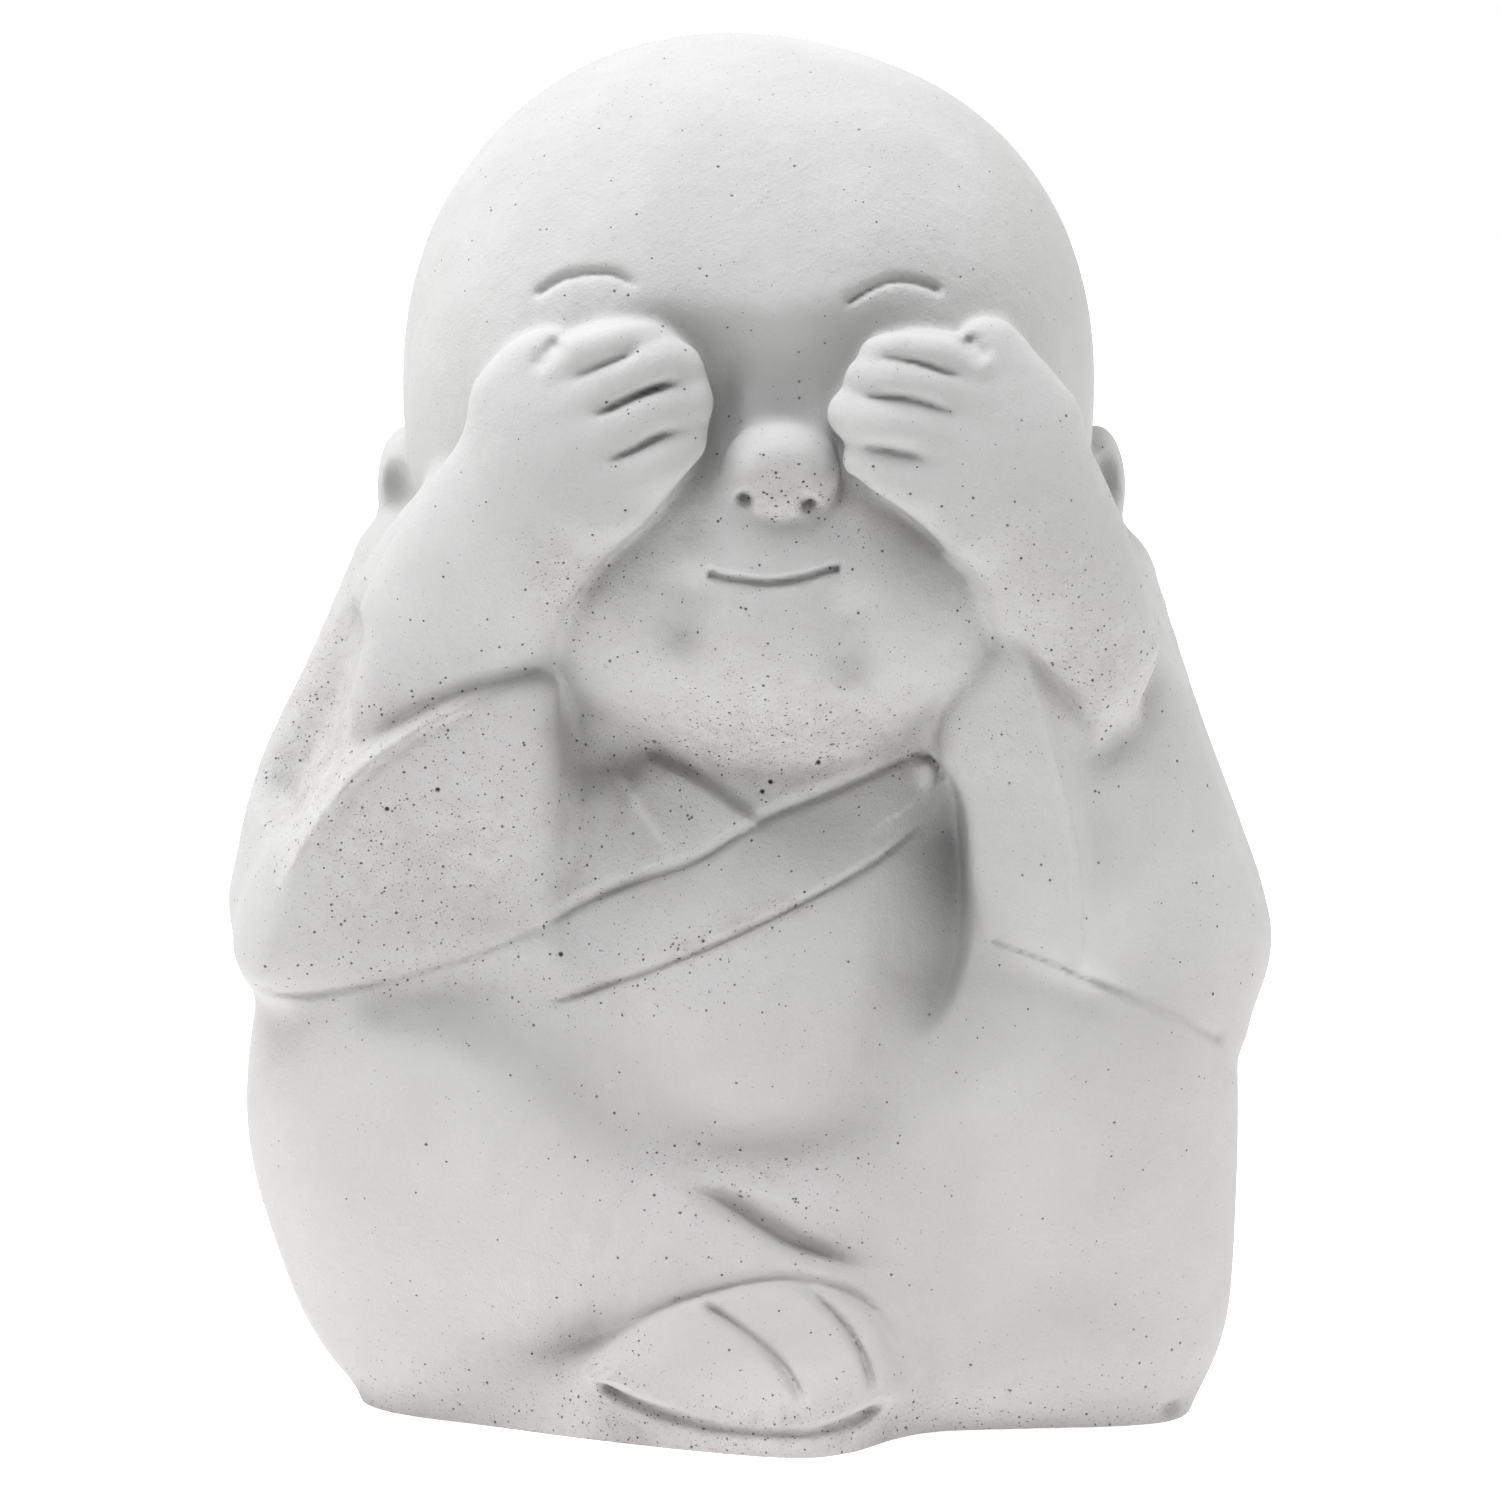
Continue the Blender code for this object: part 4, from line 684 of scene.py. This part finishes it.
def block_surface(place):
    """The surface in one block of the grid, with its cells numbered over the whole grid."""
    radius = BLOCK_CELLS * FINE_STEP * math.sqrt(3) / 2
    first = np.array(place) * BLOCK_CELLS
    centre = np.array(GRID_LOW) + (first + BLOCK_CELLS / 2) * FINE_STEP
    form = pruned(FIGURE, centre, radius)
    if form is None or abs(figure_distance(centre, form, ())) > radius * DISTANCE_SLACK:
        return None
    steps = np.arange(-1, BLOCK_CELLS + 1, dtype=np.float32)
    axes = [GRID_LOW[i] + (first[i] + steps) * FINE_STEP for i in range(3)]
    grid = np.meshgrid(*axes, indexing="ij", sparse=True)
    values = figure_distance(grid, form, near_lines(centre, radius))
    if values.min() >= 0 or values.max() <= 0:
        return None
    cells, points, faces = surface_nets(values)
    return cells + first, points + first - 1, faces


def surface_nets(values):
    """The surface's cells in one block, a point in each, and the faces of the block's own edges."""
    inside = values < 0
    cells = np.array(values.shape) - 1
    total = np.zeros((*cells, 3), np.float32)
    count = np.zeros(cells, np.float32)
    rings = []
    for axis in range(3):
        first, second = [slice(None)] * 3, [slice(None)] * 3
        first[axis], second[axis] = slice(None, -1), slice(1, None)
        start, end = values[tuple(first)], values[tuple(second)]
        corner = np.argwhere(inside[tuple(first)] != inside[tuple(second)])
        before, after = start[tuple(corner.T)], end[tuple(corner.T)]
        crossing = corner.astype(np.float32)
        crossing[:, axis] += before / (before - after)
        beside = [other for other in range(3) if other != axis]
        ring = []
        for shift in ((0, 0), (1, 0), (1, 1), (0, 1)):
            cell = corner.copy()
            cell[:, beside] -= shift
            fits = ((cell >= 0) & (cell < cells)).all(axis=1)
            np.add.at(total, tuple(cell[fits].T), crossing[fits])
            np.add.at(count, tuple(cell[fits].T), 1)
            ring.append(cell)
        # A ring runs the other way round where the grid leaves the solid, and for the middle axis
        swap = (before < 0) ^ (axis == 1)
        ring = np.stack(ring)
        ring[:, ~swap] = ring[::-1, ~swap]
        own = ((corner > 0) & (corner <= BLOCK_CELLS)).all(axis=1)
        rings.append(ring[:, own])
    used = count > 0
    index = np.full(tuple(cells), -1)
    index[used] = np.arange(used.sum())
    points = total[used] / count[used][:, None]
    faces = np.concatenate([index[tuple(np.moveaxis(ring, 2, 0))].T for ring in rings])
    return np.argwhere(used), points, faces


def fine_surface():
    """The figure's surface as points and four-sided faces, found block by block."""
    counts = [
        math.ceil((high - low) / BLOCK_CELLS / FINE_STEP) for low, high in zip(GRID_LOW, GRID_HIGH)
    ]
    blocks = [block for block in map(block_surface, np.ndindex(*counts)) if block]
    done = np.cumsum([0, *(len(cells) for cells, _, _ in blocks)])
    faces = np.concatenate([faces + start for (_, _, faces), start in zip(blocks, done)])
    cells, points = (np.concatenate([block[i] for block in blocks]) for i in range(2))
    keys = np.ravel_multi_index(tuple(cells.T), [count * BLOCK_CELLS + 1 for count in counts])
    _, kept, index = np.unique(keys, return_index=True, return_inverse=True)
    points = np.array(GRID_LOW) + FINE_STEP * points[kept]
    mesh = bpy.data.meshes.new("fine surface")
    mesh.from_pydata(points.tolist(), [], index[faces].tolist())
    return mesh


def points_of(mesh):
    points = np.empty(len(mesh.vertices) * 3, np.float32)
    mesh.vertices.foreach_get("co", points)
    return points.reshape(-1, 3)


def normals_of(mesh):
    normals = np.empty(len(mesh.vertices) * 3, np.float32)
    mesh.vertices.foreach_get("normal", normals)
    return normals.reshape(-1, 3)


def as_seen(points):
    """Where the front view shows these points, across and up: the reverse of seen()."""
    x, y, z = points.T
    z = z - VIEW_AIM
    away = VIEW_DISTANCE + y * math.cos(VIEW_ANGLE) - z * math.sin(VIEW_ANGLE)
    height = y * math.sin(VIEW_ANGLE) + z * math.cos(VIEW_ANGLE)
    return x * VIEW_DISTANCE / away, VIEW_AIM + height * VIEW_DISTANCE / away


# Where air pinholes crowd on the front: the place there, how far to each side and up, how densely
PINHOLE_ZONES = (
    ((1.8, 48.3), 12, 2.6, 1), ((1.5, 52.3), 12, 6, 0.35), ((-23.7, 39.9), 9, 8, 0.8),
    ((-12.8, 59.6), 3.5, 3.5, 0.8), ((-23.4, 50), 5, 2.2, 0.7), ((25.2, 53), 3.6, 3.6, 0.9),
    ((21.2, 59.6), 5, 5, 0.4), ((2.8, 67.1), 3.4, 2, 1), ((-11.7, 2.7), 3.5, 2.6, 1),
    ((-0.7, 17.6), 9, 2, 0.8), ((1.5, 12.9), 6, 3, 0.5), ((-32, 50.8), 3.5, 9, 0.8),
    ((-0.4, -1.3), 12, 1.6, 0.7), ((-10.9, 30.4), 14, 2, 0.3), ((-8, 39.9), 6, 6, 0.35),
    ((7.3, 64.7), 5, 3, 0.4), ((-4.7, 33), 2, 0.9, 1), ((-2.6, 34), 2, 0.9, 1),
    ((0, 35.2), 2, 0.9, 1), ((2.6, 36.5), 2, 0.9, 1),
)
# They crowd near the base too, over this height. The densities are there and everywhere.
BASE_HEIGHT = 3
BASE_DENSITY, PLAIN_DENSITY = 0.7, 0.06
# The zones hold only where the surface turns no further than this from the front
FRONT_FACING = 0.2
# The larger pinholes, where the front view shows them
LARGE_PITS = (
    (5, 47), (0.9, 44.9), (1.5, 45.6), (6, 48.3), (-7, 48.5), (-13.8, 33),
    (-22.8, 45), (-0.7, 15.3), (-26.5, 43.6),
)
PITS = (
    (5.6, 50.1), (7.8, 50.8), (0.1, 47.9), (-1.5, 50.6), (10.9, 49), (-11.5, 50.4),
    (-7.8, 32.6), (-8.2, 30.7), (-15.8, 27.8), (13.1, 28.6), (-11.2, 22.6),
    (-9.9, 21.4), (-6.8, 18.5), (-5.5, 19), (-0.7, 18.7), (4.9, 17.3),
    (7.9, 18.1), (10.8, 19.2), (-0.1, 15.3), (-28.3, 43.7), (-23.7, 46.6),
    (-22.4, 39.4), (-20.9, 47.7), (-36.7, 38.1), (-35.4, 42.4), (-29.9, 40.6), (-31.8, 34.6),
    (-32, 32.2), (-33.8, 30.6), (-14.6, 33), (-13.9, 44.2), (-12.2, 50.4), (-12, 48.3),
    (-16.9, 32.8), (-20.4, 38), (-21, 52.2), (-24.7, 52.2), (-22.6, 52.8), (-28.2, 48.6),
    (-16.6, 55.6), (-18.3, 55.4), (-11.3, 38.5), (-11.9, 39.5), (22, 55.2),
    (22.1, 54.1), (25, 53), (24.1, 51), (26, 49.3), (25.7, 48.7),
    (28.1, 52.2), (25.2, 44.9), (31.2, 47.1), (21.9, 38.4), (24.6, 35.6),
    (15.6, 39.6), (33.4, 45.3), (32.6, 38.2), (36.7, 31.5), (3.6, 74.8),
    (3.6, 73.6), (-2.4, 69.5), (3.9, 67.5), (5.1, 66.5), (4.3, 65.3), (6.6, 68.1),
    (6.1, 68.4), (0.7, 61.4), (7.5, 61.1), (-0.3, 58.2), (7.9, 57.9), (-8.9, 81.1),
    (-9.9, 81.4), (-11.5, 63.6), (-15.5, 61.6), (-16.4, 59.6), (-13.3, 60.4), (-14.8, 58.6),
    (-9.1, 65.4), (-7.4, 64.9), (-8.2, 77), (-4.7, 77.1), (11.7, 66.6), (14, 65.7),
    (16.3, 66.3), (18.8, 64.3), (19.8, 61.9), (23.1, 72.3), (1, 66.7),
    (1.6, 66.3), (2.3, 66.8), (2.8, 66), (1.9, 65.7), (-0.1, 66.3), (-5.1, 14.1),
    (-6.1, 10.8), (0.9, 13.6), (3.8, 11.1), (4.7, 10.6), (16.1, 3),
    (-7.5, 18.5), (31.4, 4.6), (30.8, 4.1), (28.9, 1.4), (15.1, 0.2), (-5.6, -0.2), (-9.1, 1),
)
LARGE_PIT, PIT, SMALL_PIT = 0.19, 0.105, 0.08
SCATTERED_PITS, SCATTER_SEED = 350, 11
SMALL_PIT_SIZES = 0.6, 1.3
# In a pit's radii: its depth, and how fast it falls away from the rim
PIT_DEPTH, PIT_SLOPE = 1.3, 1.4
# How often the faces' edges at a pit are cut, to give it a round form
PIT_CUTS = 3
# In radii from a pit's middle: how far the fine faces stay, and where its painted shade ends, how
# sharply
PIT_SURROUND = 2
PIT_SHADE_REACH, PIT_SHADE_SLOPE = 1.15, 2


def pinhole_density(points, normals):
    """How crowded the pinholes are at each point, from 0 to 1."""
    across, up = as_seen(points)
    density = PLAIN_DENSITY + BASE_DENSITY * np.exp(-((points[:, 2] / BASE_HEIGHT) ** 2))
    front = normals[:, 1] < FRONT_FACING
    for (middle_across, middle_up), half_across, half_up, amount in PINHOLE_ZONES:
        gap = ((across - middle_across) / half_across) ** 2 + ((up - middle_up) / half_up) ** 2
        density = density + amount * np.exp(-gap) * front
    return np.minimum(density, 1)


def pit_places(mesh):
    """Each pit's middle, the way out of it and its radius: the seen ones, then scattered ones."""
    points, normals = points_of(mesh), normals_of(mesh)
    tree = BVHTree.FromPolygons(points.tolist(), [tuple(face.vertices) for face in mesh.polygons])
    eye = Vector((0, 0, VIEW_AIM))
    eye += VIEW_DISTANCE * Vector((0, -math.cos(VIEW_ANGLE), math.sin(VIEW_ANGLE)))
    pits = []
    for radius, places in ((LARGE_PIT, LARGE_PITS), (PIT, PITS)):
        for place in places:
            hit, normal, _, _ = tree.ray_cast(eye, Vector(seen(*place, 0)) - eye)
            pits.append((*hit, *normal, radius))
    density = pinhole_density(points, normals)
    density[points[:, 2] < SMALL_PIT] = 0
    chooser = np.random.default_rng(SCATTER_SEED)
    chosen = chooser.choice(len(points), SCATTERED_PITS, replace=False, p=density / density.sum())
    radii = SMALL_PIT * chooser.uniform(*SMALL_PIT_SIZES, (SCATTERED_PITS, 1))
    scattered = np.hstack([points[chosen], normals[chosen], radii])
    return np.vstack([pits, scattered])


def point_tree(points):
    tree = KDTree(len(points))
    for index, point in enumerate(points):
        tree.insert(point, index)
    tree.balance()
    return tree


def pitted(mesh, pits):
    """Dents the mesh at each pit, on a finer patch of faces."""
    shape = bmesh.new()
    shape.from_mesh(mesh)
    shape.verts.ensure_lookup_table()
    tree = point_tree(points_of(mesh))
    edges = set()
    for x, y, z, _, _, _, radius in pits:
        for _, index, _ in tree.find_range((x, y, z), radius + FINE_STEP):
            edges.update(shape.verts[index].link_edges)
    bmesh.ops.subdivide_edges(shape, edges=list(edges), cuts=PIT_CUTS, use_grid_fill=True)
    shape.to_mesh(mesh)
    shape.free()
    points = points_of(mesh)
    for x, y, z, *normal, radius in pits:
        near = np.flatnonzero(((points - (x, y, z)) ** 2).sum(axis=1) < radius**2)
        gap = np.linalg.norm(points[near] - (x, y, z), axis=1) / radius
        points[near] -= np.outer(PIT_DEPTH * radius * soft_step(PIT_SLOPE * (1 - gap)), normal)
    mesh.vertices.foreach_set("co", points.ravel())


def thinned(mesh, pits):
    """The mesh as triangles, thinned where it is plain."""
    helper = bpy.data.objects.new("thinning", mesh)
    bpy.context.scene.collection.objects.link(helper)
    tree = point_tree(points_of(mesh))
    kept = {
        index
        for *middle, _, _, _, radius in pits
        for _, index, _ in tree.find_range(middle, PIT_SURROUND * radius)
    }
    plain = helper.vertex_groups.new(name="plain")
    plain.add([index for index in range(len(mesh.vertices)) if index not in kept], 1, "REPLACE")
    triangles = len(mesh.loops) - 2 * len(mesh.polygons)
    decimate = helper.modifiers.new("fewer faces", "DECIMATE")
    decimate.ratio = KEPT_TRIANGLES / triangles
    decimate.vertex_group = plain.name
    decimate.vertex_group_factor = 1
    graph = bpy.context.evaluated_depsgraph_get()
    result = bpy.data.meshes.new_from_object(helper.evaluated_get(graph))
    bpy.data.objects.remove(helper)
    return result


class Placing:
    """Carries places in hundredths of the height into the box of the solid model."""

    def __init__(self, mesh, low, high):
        points = points_of(mesh)
        self.own_low, self.own_high = points.min(axis=0), points.max(axis=0)
        self.low, self.high = np.array(low), np.array(high)
        self.unit = (self.high[2] - self.low[2]) / 100

    def __call__(self, places):
        share = (np.asarray(places) - self.own_low) / (self.own_high - self.own_low)
        return self.low + share * (self.high - self.low)


def mark_pinholes(mesh, pits):
    """Notes on each point how crowded the pinholes are there, and how much painted shade it takes for
    lying in a pit.
    """
    points, normals = points_of(mesh), normals_of(mesh)
    tree = point_tree(points)
    # The painted shade of the pits: full near a pit's middle, fading out past its rim
    depth = np.zeros(len(points), np.float32)
    for x, y, z, *out, radius in pits:
        middle, out = Vector((x, y, z)), Vector(out)
        for point, index, _ in tree.find_range(middle, PIT_SURROUND * radius):
            gap = point - middle
            gap = (gap - gap.dot(out) * out).length / radius
            depth[index] = max(depth[index], soft_step(PIT_SHADE_SLOPE * (PIT_SHADE_REACH - gap)))
    for name, values in (("pinholes", pinhole_density(points, normals)), ("pit", depth)):
        layer = mesh.attributes.new(name, "FLOAT", "POINT")
        layer.data.foreach_set("value", values.astype(np.float32))


class Nodes:
    """Builds a material's nodes, each by its type, its settings and what goes into it."""

    def __init__(self, name):
        self.material = bpy.data.materials.new(name)
        self.material.use_nodes = True
        self.tree = self.material.node_tree
        self.shader = self.tree.nodes["Principled BSDF"]

    def put(self, socket, value):
        """Links a node's output to the socket, or gives it a plain value."""
        if isinstance(value, bpy.types.NodeSocket):
            self.tree.links.new(value, socket)
        else:
            socket.default_value = value

    def shade(self, inputs):
        for name, value in inputs.items():
            self.put(self.shader.inputs[name], value)

    def add(self, kind, inputs, **settings):
        node = self.tree.nodes.new("ShaderNode" + kind)
        for name, value in settings.items():
            setattr(node, name, value)
        for name, value in inputs.items():
            self.put(node.inputs[name], value)
        return node

    def math(self, operation, *values, clamp=False):
        inputs = dict(enumerate(values))
        return self.add("Math", inputs, operation=operation, use_clamp=clamp).outputs[0]

    def fade(self, value, low, high):
        """From 0 at low to 1 at high, softly."""
        inputs = {"Value": value, "From Min": low, "From Max": high}
        return self.add("MapRange", inputs, interpolation_type="SMOOTHSTEP").outputs[0]

    def noise(self, where, scale, detail, roughness):
        inputs = {"Vector": where, "Scale": scale, "Detail": detail, "Roughness": roughness}
        return self.add("TexNoise", inputs).outputs["Fac"]

    def mixed(self, share, a, b):
        """Colour a with this share of it replaced by colour b."""
        node = self.add("Mix", {}, data_type="RGBA")
        for name, value in (("Factor", share), ("A", a), ("B", b)):
            self.put(next(s for s in node.inputs if s.name == name and s.enabled), value)
        return next(s for s in node.outputs if s.enabled)

    def spots(self, where, kind, crowding):
        """Round spots of one kind, in this share of its cells."""
        scale, radius, shift = kind
        inputs = {0: where, 1: (shift, 2 * shift, 3 * shift)}
        moved = self.add("VectorMath", inputs, operation="ADD").outputs[0]
        cells = self.add("TexVoronoi", {"Vector": moved, "Scale": scale}, feature="F1")
        pick = self.add("SeparateColor", {"Color": cells.outputs["Color"]})
        rim = self.math("MULTIPLY_ADD", pick.outputs["Green"], -SPOT_SHRINKING * radius, radius)
        core = self.math("MULTIPLY", rim, SPOT_CORE)
        inputs = {"Value": cells.outputs["Distance"], "From Min": core, "From Max": rim}
        inputs |= {"To Min": 1, "To Max": 0}
        near = self.add("MapRange", inputs, interpolation_type="SMOOTHSTEP").outputs[0]
        present = self.math("LESS_THAN", pick.outputs["Red"], crowding)
        return self.math("MULTIPLY", near, present)


# Concrete: its pale ground, a warmer, darker tint where pinholes crowd and towards the bottom, and
# painted shade in the pinholes
GROUND = (0.400, 0.396, 0.392, 1)
PALE = (0.435, 0.432, 0.428, 1)
WARM = (0.345, 0.322, 0.314, 1)
PIT_SHADE_COLOUR = (0.07, 0.063, 0.058, 1)
SPECK = (0.85, 0.85, 0.84, 1)
# A warmer, darker tint where pinholes crowd and, more thinly, growing from this height down to the
# bottom
LOW_TINT_TOP = 62
WARM_TINT_STRENGTH, LOW_TINT = 0.8, 0.36
# Noise: its scale, detail and roughness, and the values between which it fades in
CLOUDS, CLOUDS_FADE = (0.09, 3, 0.5), (0.35, 0.7)
MOTTLING, MOTTLING_FADE = (0.6, 4, 0.6), (0.3, 0.75)
GRAIN = (5, 3, 0.7)
GRAIN_TINT, GRAIN_DARKEST = 0.12, 0.94
# Spots: the scale of their cells, the radius of the largest there, and a shift of the cells
SPECKS = (0.9, 0.07, 7)
LARGE_HOLES = (1.3, 0.17, 0)
FINE_HOLES = (2.2, 0.22, 3)
TINY_HOLES = (4.5, 0.25, 5)
# How much smaller the smallest spot is, and the share of a spot's radius before its soft rim
SPOT_SHRINKING, SPOT_CORE = 0.6, 0.55
# The share of the cells with a speck, and of those with a hole where the pinholes crowd most
SPECK_SHARE, HOLE_SHARE = 0.05, 0.7
# How strongly the specks show, how strongly the tiny holes count, and how dark the painted shade of all
# holes and pits is
SPECK_STRENGTH, TINY_HOLE_STRENGTH, PIT_SHADE_STRENGTH = 0.5, 0.6, 0.85
# How far each raises the surface
GRAIN_RISE, MOTTLING_RISE, SPECK_RISE, HOLE_RISE = 0.06, 0.05, 0.08, -0.2
ROUGHNESS, SHINE = 0.88, 0.3


def concrete(unit):
    """Matt cast concrete. The unit is a hundredth of the height in metres."""
    nodes = Nodes("cast_concrete")
    where = nodes.add("TexCoord", {}).outputs["Object"]
    where = nodes.add("VectorMath", {0: where, "Scale": 1 / unit}, operation="SCALE").outputs[0]
    crowding = nodes.add("Attribute", {}, attribute_name="pinholes").outputs["Fac"]
    # The painted shade inside each pit, as marked on the mesh
    pit_shade_weight = nodes.add("Attribute", {}, attribute_name="pit").outputs["Fac"]
    clouds = nodes.fade(nodes.noise(where, *CLOUDS), *CLOUDS_FADE)
    mottling = nodes.fade(nodes.noise(where, *MOTTLING), *MOTTLING_FADE)
    grain = nodes.noise(where, *GRAIN)
    colour = nodes.mixed(clouds, GROUND, PALE)
    up = nodes.add("SeparateXYZ", {0: where}).outputs["Z"]
    # A warmer, darker tint, stronger towards the bottom and where pinholes crowd
    low_tint = nodes.math("MULTIPLY", nodes.fade(up, LOW_TINT_TOP, 0), LOW_TINT)
    warm_tint = nodes.math("MULTIPLY", crowding, mottling, clamp=True)
    warm_tint = nodes.math("MAXIMUM", warm_tint, low_tint)
    colour = nodes.mixed(nodes.math("MULTIPLY", warm_tint, WARM_TINT_STRENGTH), colour, WARM)
    specks = nodes.spots(where, SPECKS, SPECK_SHARE)
    colour = nodes.mixed(nodes.math("MULTIPLY", specks, SPECK_STRENGTH), colour, SPECK)
    # Holes: dents in the bump, and painted shade in the colour where they lie
    sparser = nodes.math("MULTIPLY", crowding, HOLE_SHARE)
    large = nodes.spots(where, LARGE_HOLES, sparser)
    fine = nodes.spots(where, FINE_HOLES, sparser)
    tiny_holes = nodes.math("MULTIPLY", nodes.spots(where, TINY_HOLES, crowding), TINY_HOLE_STRENGTH)
    holes = nodes.math("MAXIMUM", nodes.math("MAXIMUM", large, fine), tiny_holes)
    # Painted shade: the holes and the pits darkened towards the shade colour
    pit_shade = nodes.math("MAXIMUM", holes, pit_shade_weight)
    colour = nodes.mixed(nodes.math("MULTIPLY", pit_shade, PIT_SHADE_STRENGTH), colour, PIT_SHADE_COLOUR)
    tint = nodes.math("MULTIPLY_ADD", grain, GRAIN_TINT, GRAIN_DARKEST)
    colour = nodes.add("VectorMath", {0: colour, "Scale": tint}, operation="SCALE").outputs[0]
    height = nodes.math("MULTIPLY", mottling, MOTTLING_RISE)
    for relief, rise in ((grain, GRAIN_RISE), (holes, HOLE_RISE), (specks, SPECK_RISE)):
        height = nodes.math("MULTIPLY_ADD", relief, rise, height)
    bump = nodes.add("Bump", {"Height": height, "Distance": unit, "Strength": 1})
    nodes.shade({"Base Color": colour, "Normal": bump.outputs["Normal"]})
    nodes.shade({"Roughness": ROUGHNESS, "Specular IOR Level": SHINE})
    return nodes.material


# What the camera shows begins and ends here, in metres
SIGHT_BEGINS, SIGHT_ENDS = 0.01, 50


def make_camera(place):
    """The camera at the front, a little above, with the frame of the picture."""
    camera = bpy.data.objects.new("camera", bpy.data.cameras.new("camera"))
    bpy.context.scene.collection.objects.link(camera)
    bpy.context.scene.camera = camera
    target = Vector(place((0, 0, VIEW_AIM)))
    back = Vector((0, -math.cos(VIEW_ANGLE), math.sin(VIEW_ANGLE)))
    camera.location = target + back * VIEW_DISTANCE * place.unit
    camera.rotation_euler = (-back).to_track_quat("-Z", "Y").to_euler()
    camera.data.sensor_width = SENSOR_WIDTH
    camera.data.lens = SENSOR_WIDTH * PIXELS_PER_UNIT * VIEW_DISTANCE / PICTURE_WIDTH
    camera.data.clip_start = SIGHT_BEGINS
    camera.data.clip_end = SIGHT_ENDS


# The studio is in metres and watts. Its floor is grey in front, and pale and glowing behind that.
FLOOR_HALF = 3
FLOOR_GLOW, FLOOR_ROUGHNESS = 0.7, 0.8
FLOOR_GREY_ENDS, FLOOR_PALE_BEGINS = -0.22, -0.08
FLOOR_GREY, FLOOR_PALE = (0.3, 0.3, 0.3, 1), (0.9, 0.9, 0.9, 1)
WHITE = (1, 1, 1, 1)
# Each softbox's name, place, side, power and colour
SOFTBOXES = (
    ("top_softbox", (-0.1, -0.13, 0.5), 0.3, 3.35, (0.97, 0.985, 1)),
    ("left_softbox", (-0.45, -0.1, 0.2), 0.3, 0.4, (1, 1, 1)),
    ("right_softbox", (0.45, 0, 0.18), 0.3, 0.42, (1, 1, 1)),
)
LIGHT_AIM = (0, 0, 0.05)
# The light tent's brightness, dimmer on the viewer's side
TENT_FRONT, TENT_BEHIND = 0.08, 1.0


def make_floor():
    floor_mesh = bpy.data.meshes.new("studio_floor")
    corners = [(x * FLOOR_HALF, y * FLOOR_HALF, 0) for x, y in ((-1, -1), (1, -1), (1, 1), (-1, 1))]
    floor_mesh.from_pydata(corners, [], [(0, 1, 2, 3)])
    floor = bpy.data.objects.new("studio_floor", floor_mesh)
    bpy.context.scene.collection.objects.link(floor)
    nodes = Nodes("pale_floor")
    place = nodes.add("SeparateXYZ", {0: nodes.add("TexCoord", {}).outputs["Object"]}).outputs["Y"]
    pale = nodes.fade(place, FLOOR_GREY_ENDS, FLOOR_PALE_BEGINS)
    colour = nodes.mixed(pale, FLOOR_GREY, FLOOR_PALE)
    glow = nodes.math("MULTIPLY", pale, FLOOR_GLOW)
    nodes.shade({"Base Color": colour, "Roughness": FLOOR_ROUGHNESS})
    nodes.shade({"Emission Color": WHITE, "Emission Strength": glow})
    floor_mesh.materials.append(nodes.material)


def make_softboxes():
    for name, where, size, power, colour in SOFTBOXES:
        light = bpy.data.lights.new(name, "AREA")
        light.size, light.energy, light.color = size, power, colour
        lamp = bpy.data.objects.new(name, light)
        lamp.location = where
        way = Vector(LIGHT_AIM) - Vector(where)
        lamp.rotation_euler = way.to_track_quat("-Z", "Y").to_euler()
        bpy.context.scene.collection.objects.link(lamp)


def make_light_tent():
    """Even light from all round, from dim at the very front to bright from the middle back."""
    world = bpy.data.worlds.new("light_tent")
    bpy.context.scene.world = world
    world.use_nodes = True
    tree = world.node_tree
    direction = tree.nodes.new("ShaderNodeTexCoord").outputs["Generated"]
    parts = tree.nodes.new("ShaderNodeSeparateXYZ")
    strength = tree.nodes.new("ShaderNodeMapRange")
    tree.links.new(direction, parts.inputs[0])
    tree.links.new(parts.outputs["Y"], strength.inputs["Value"])
    ends = {"From Min": -1, "From Max": 0, "To Min": TENT_FRONT, "To Max": TENT_BEHIND}
    for name, value in ends.items():
        strength.inputs[name].default_value = value
    background = tree.nodes["Background"]
    background.inputs["Color"].default_value = WHITE
    tree.links.new(strength.outputs[0], background.inputs["Strength"])
    bpy.context.scene.view_settings.view_transform = "Standard"


def make_casting():
    """The finely detailed statue, in place of the solid one."""
    rough = fine_surface()
    pits = pit_places(rough)
    pitted(rough, pits)
    mesh = thinned(rough, pits)
    mesh.name = "statue_casting"
    mark_pinholes(mesh, pits)
    place = Placing(mesh, *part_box("statue"))
    mesh.vertices.foreach_set("co", place(points_of(mesh)).astype(np.float32).ravel())
    mesh.shade_smooth()
    mesh.materials.append(concrete(place.unit))
    casting = bpy.data.objects.new("statue_casting", mesh)
    bpy.context.scene.collection.objects.link(casting)
    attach(casting, "root")
    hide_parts("statue")
    return place


for existing in list(bpy.data.objects):
    bpy.data.objects.remove(existing)
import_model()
place = make_casting()
make_floor()
make_softboxes()
make_light_tent()
make_camera(place)
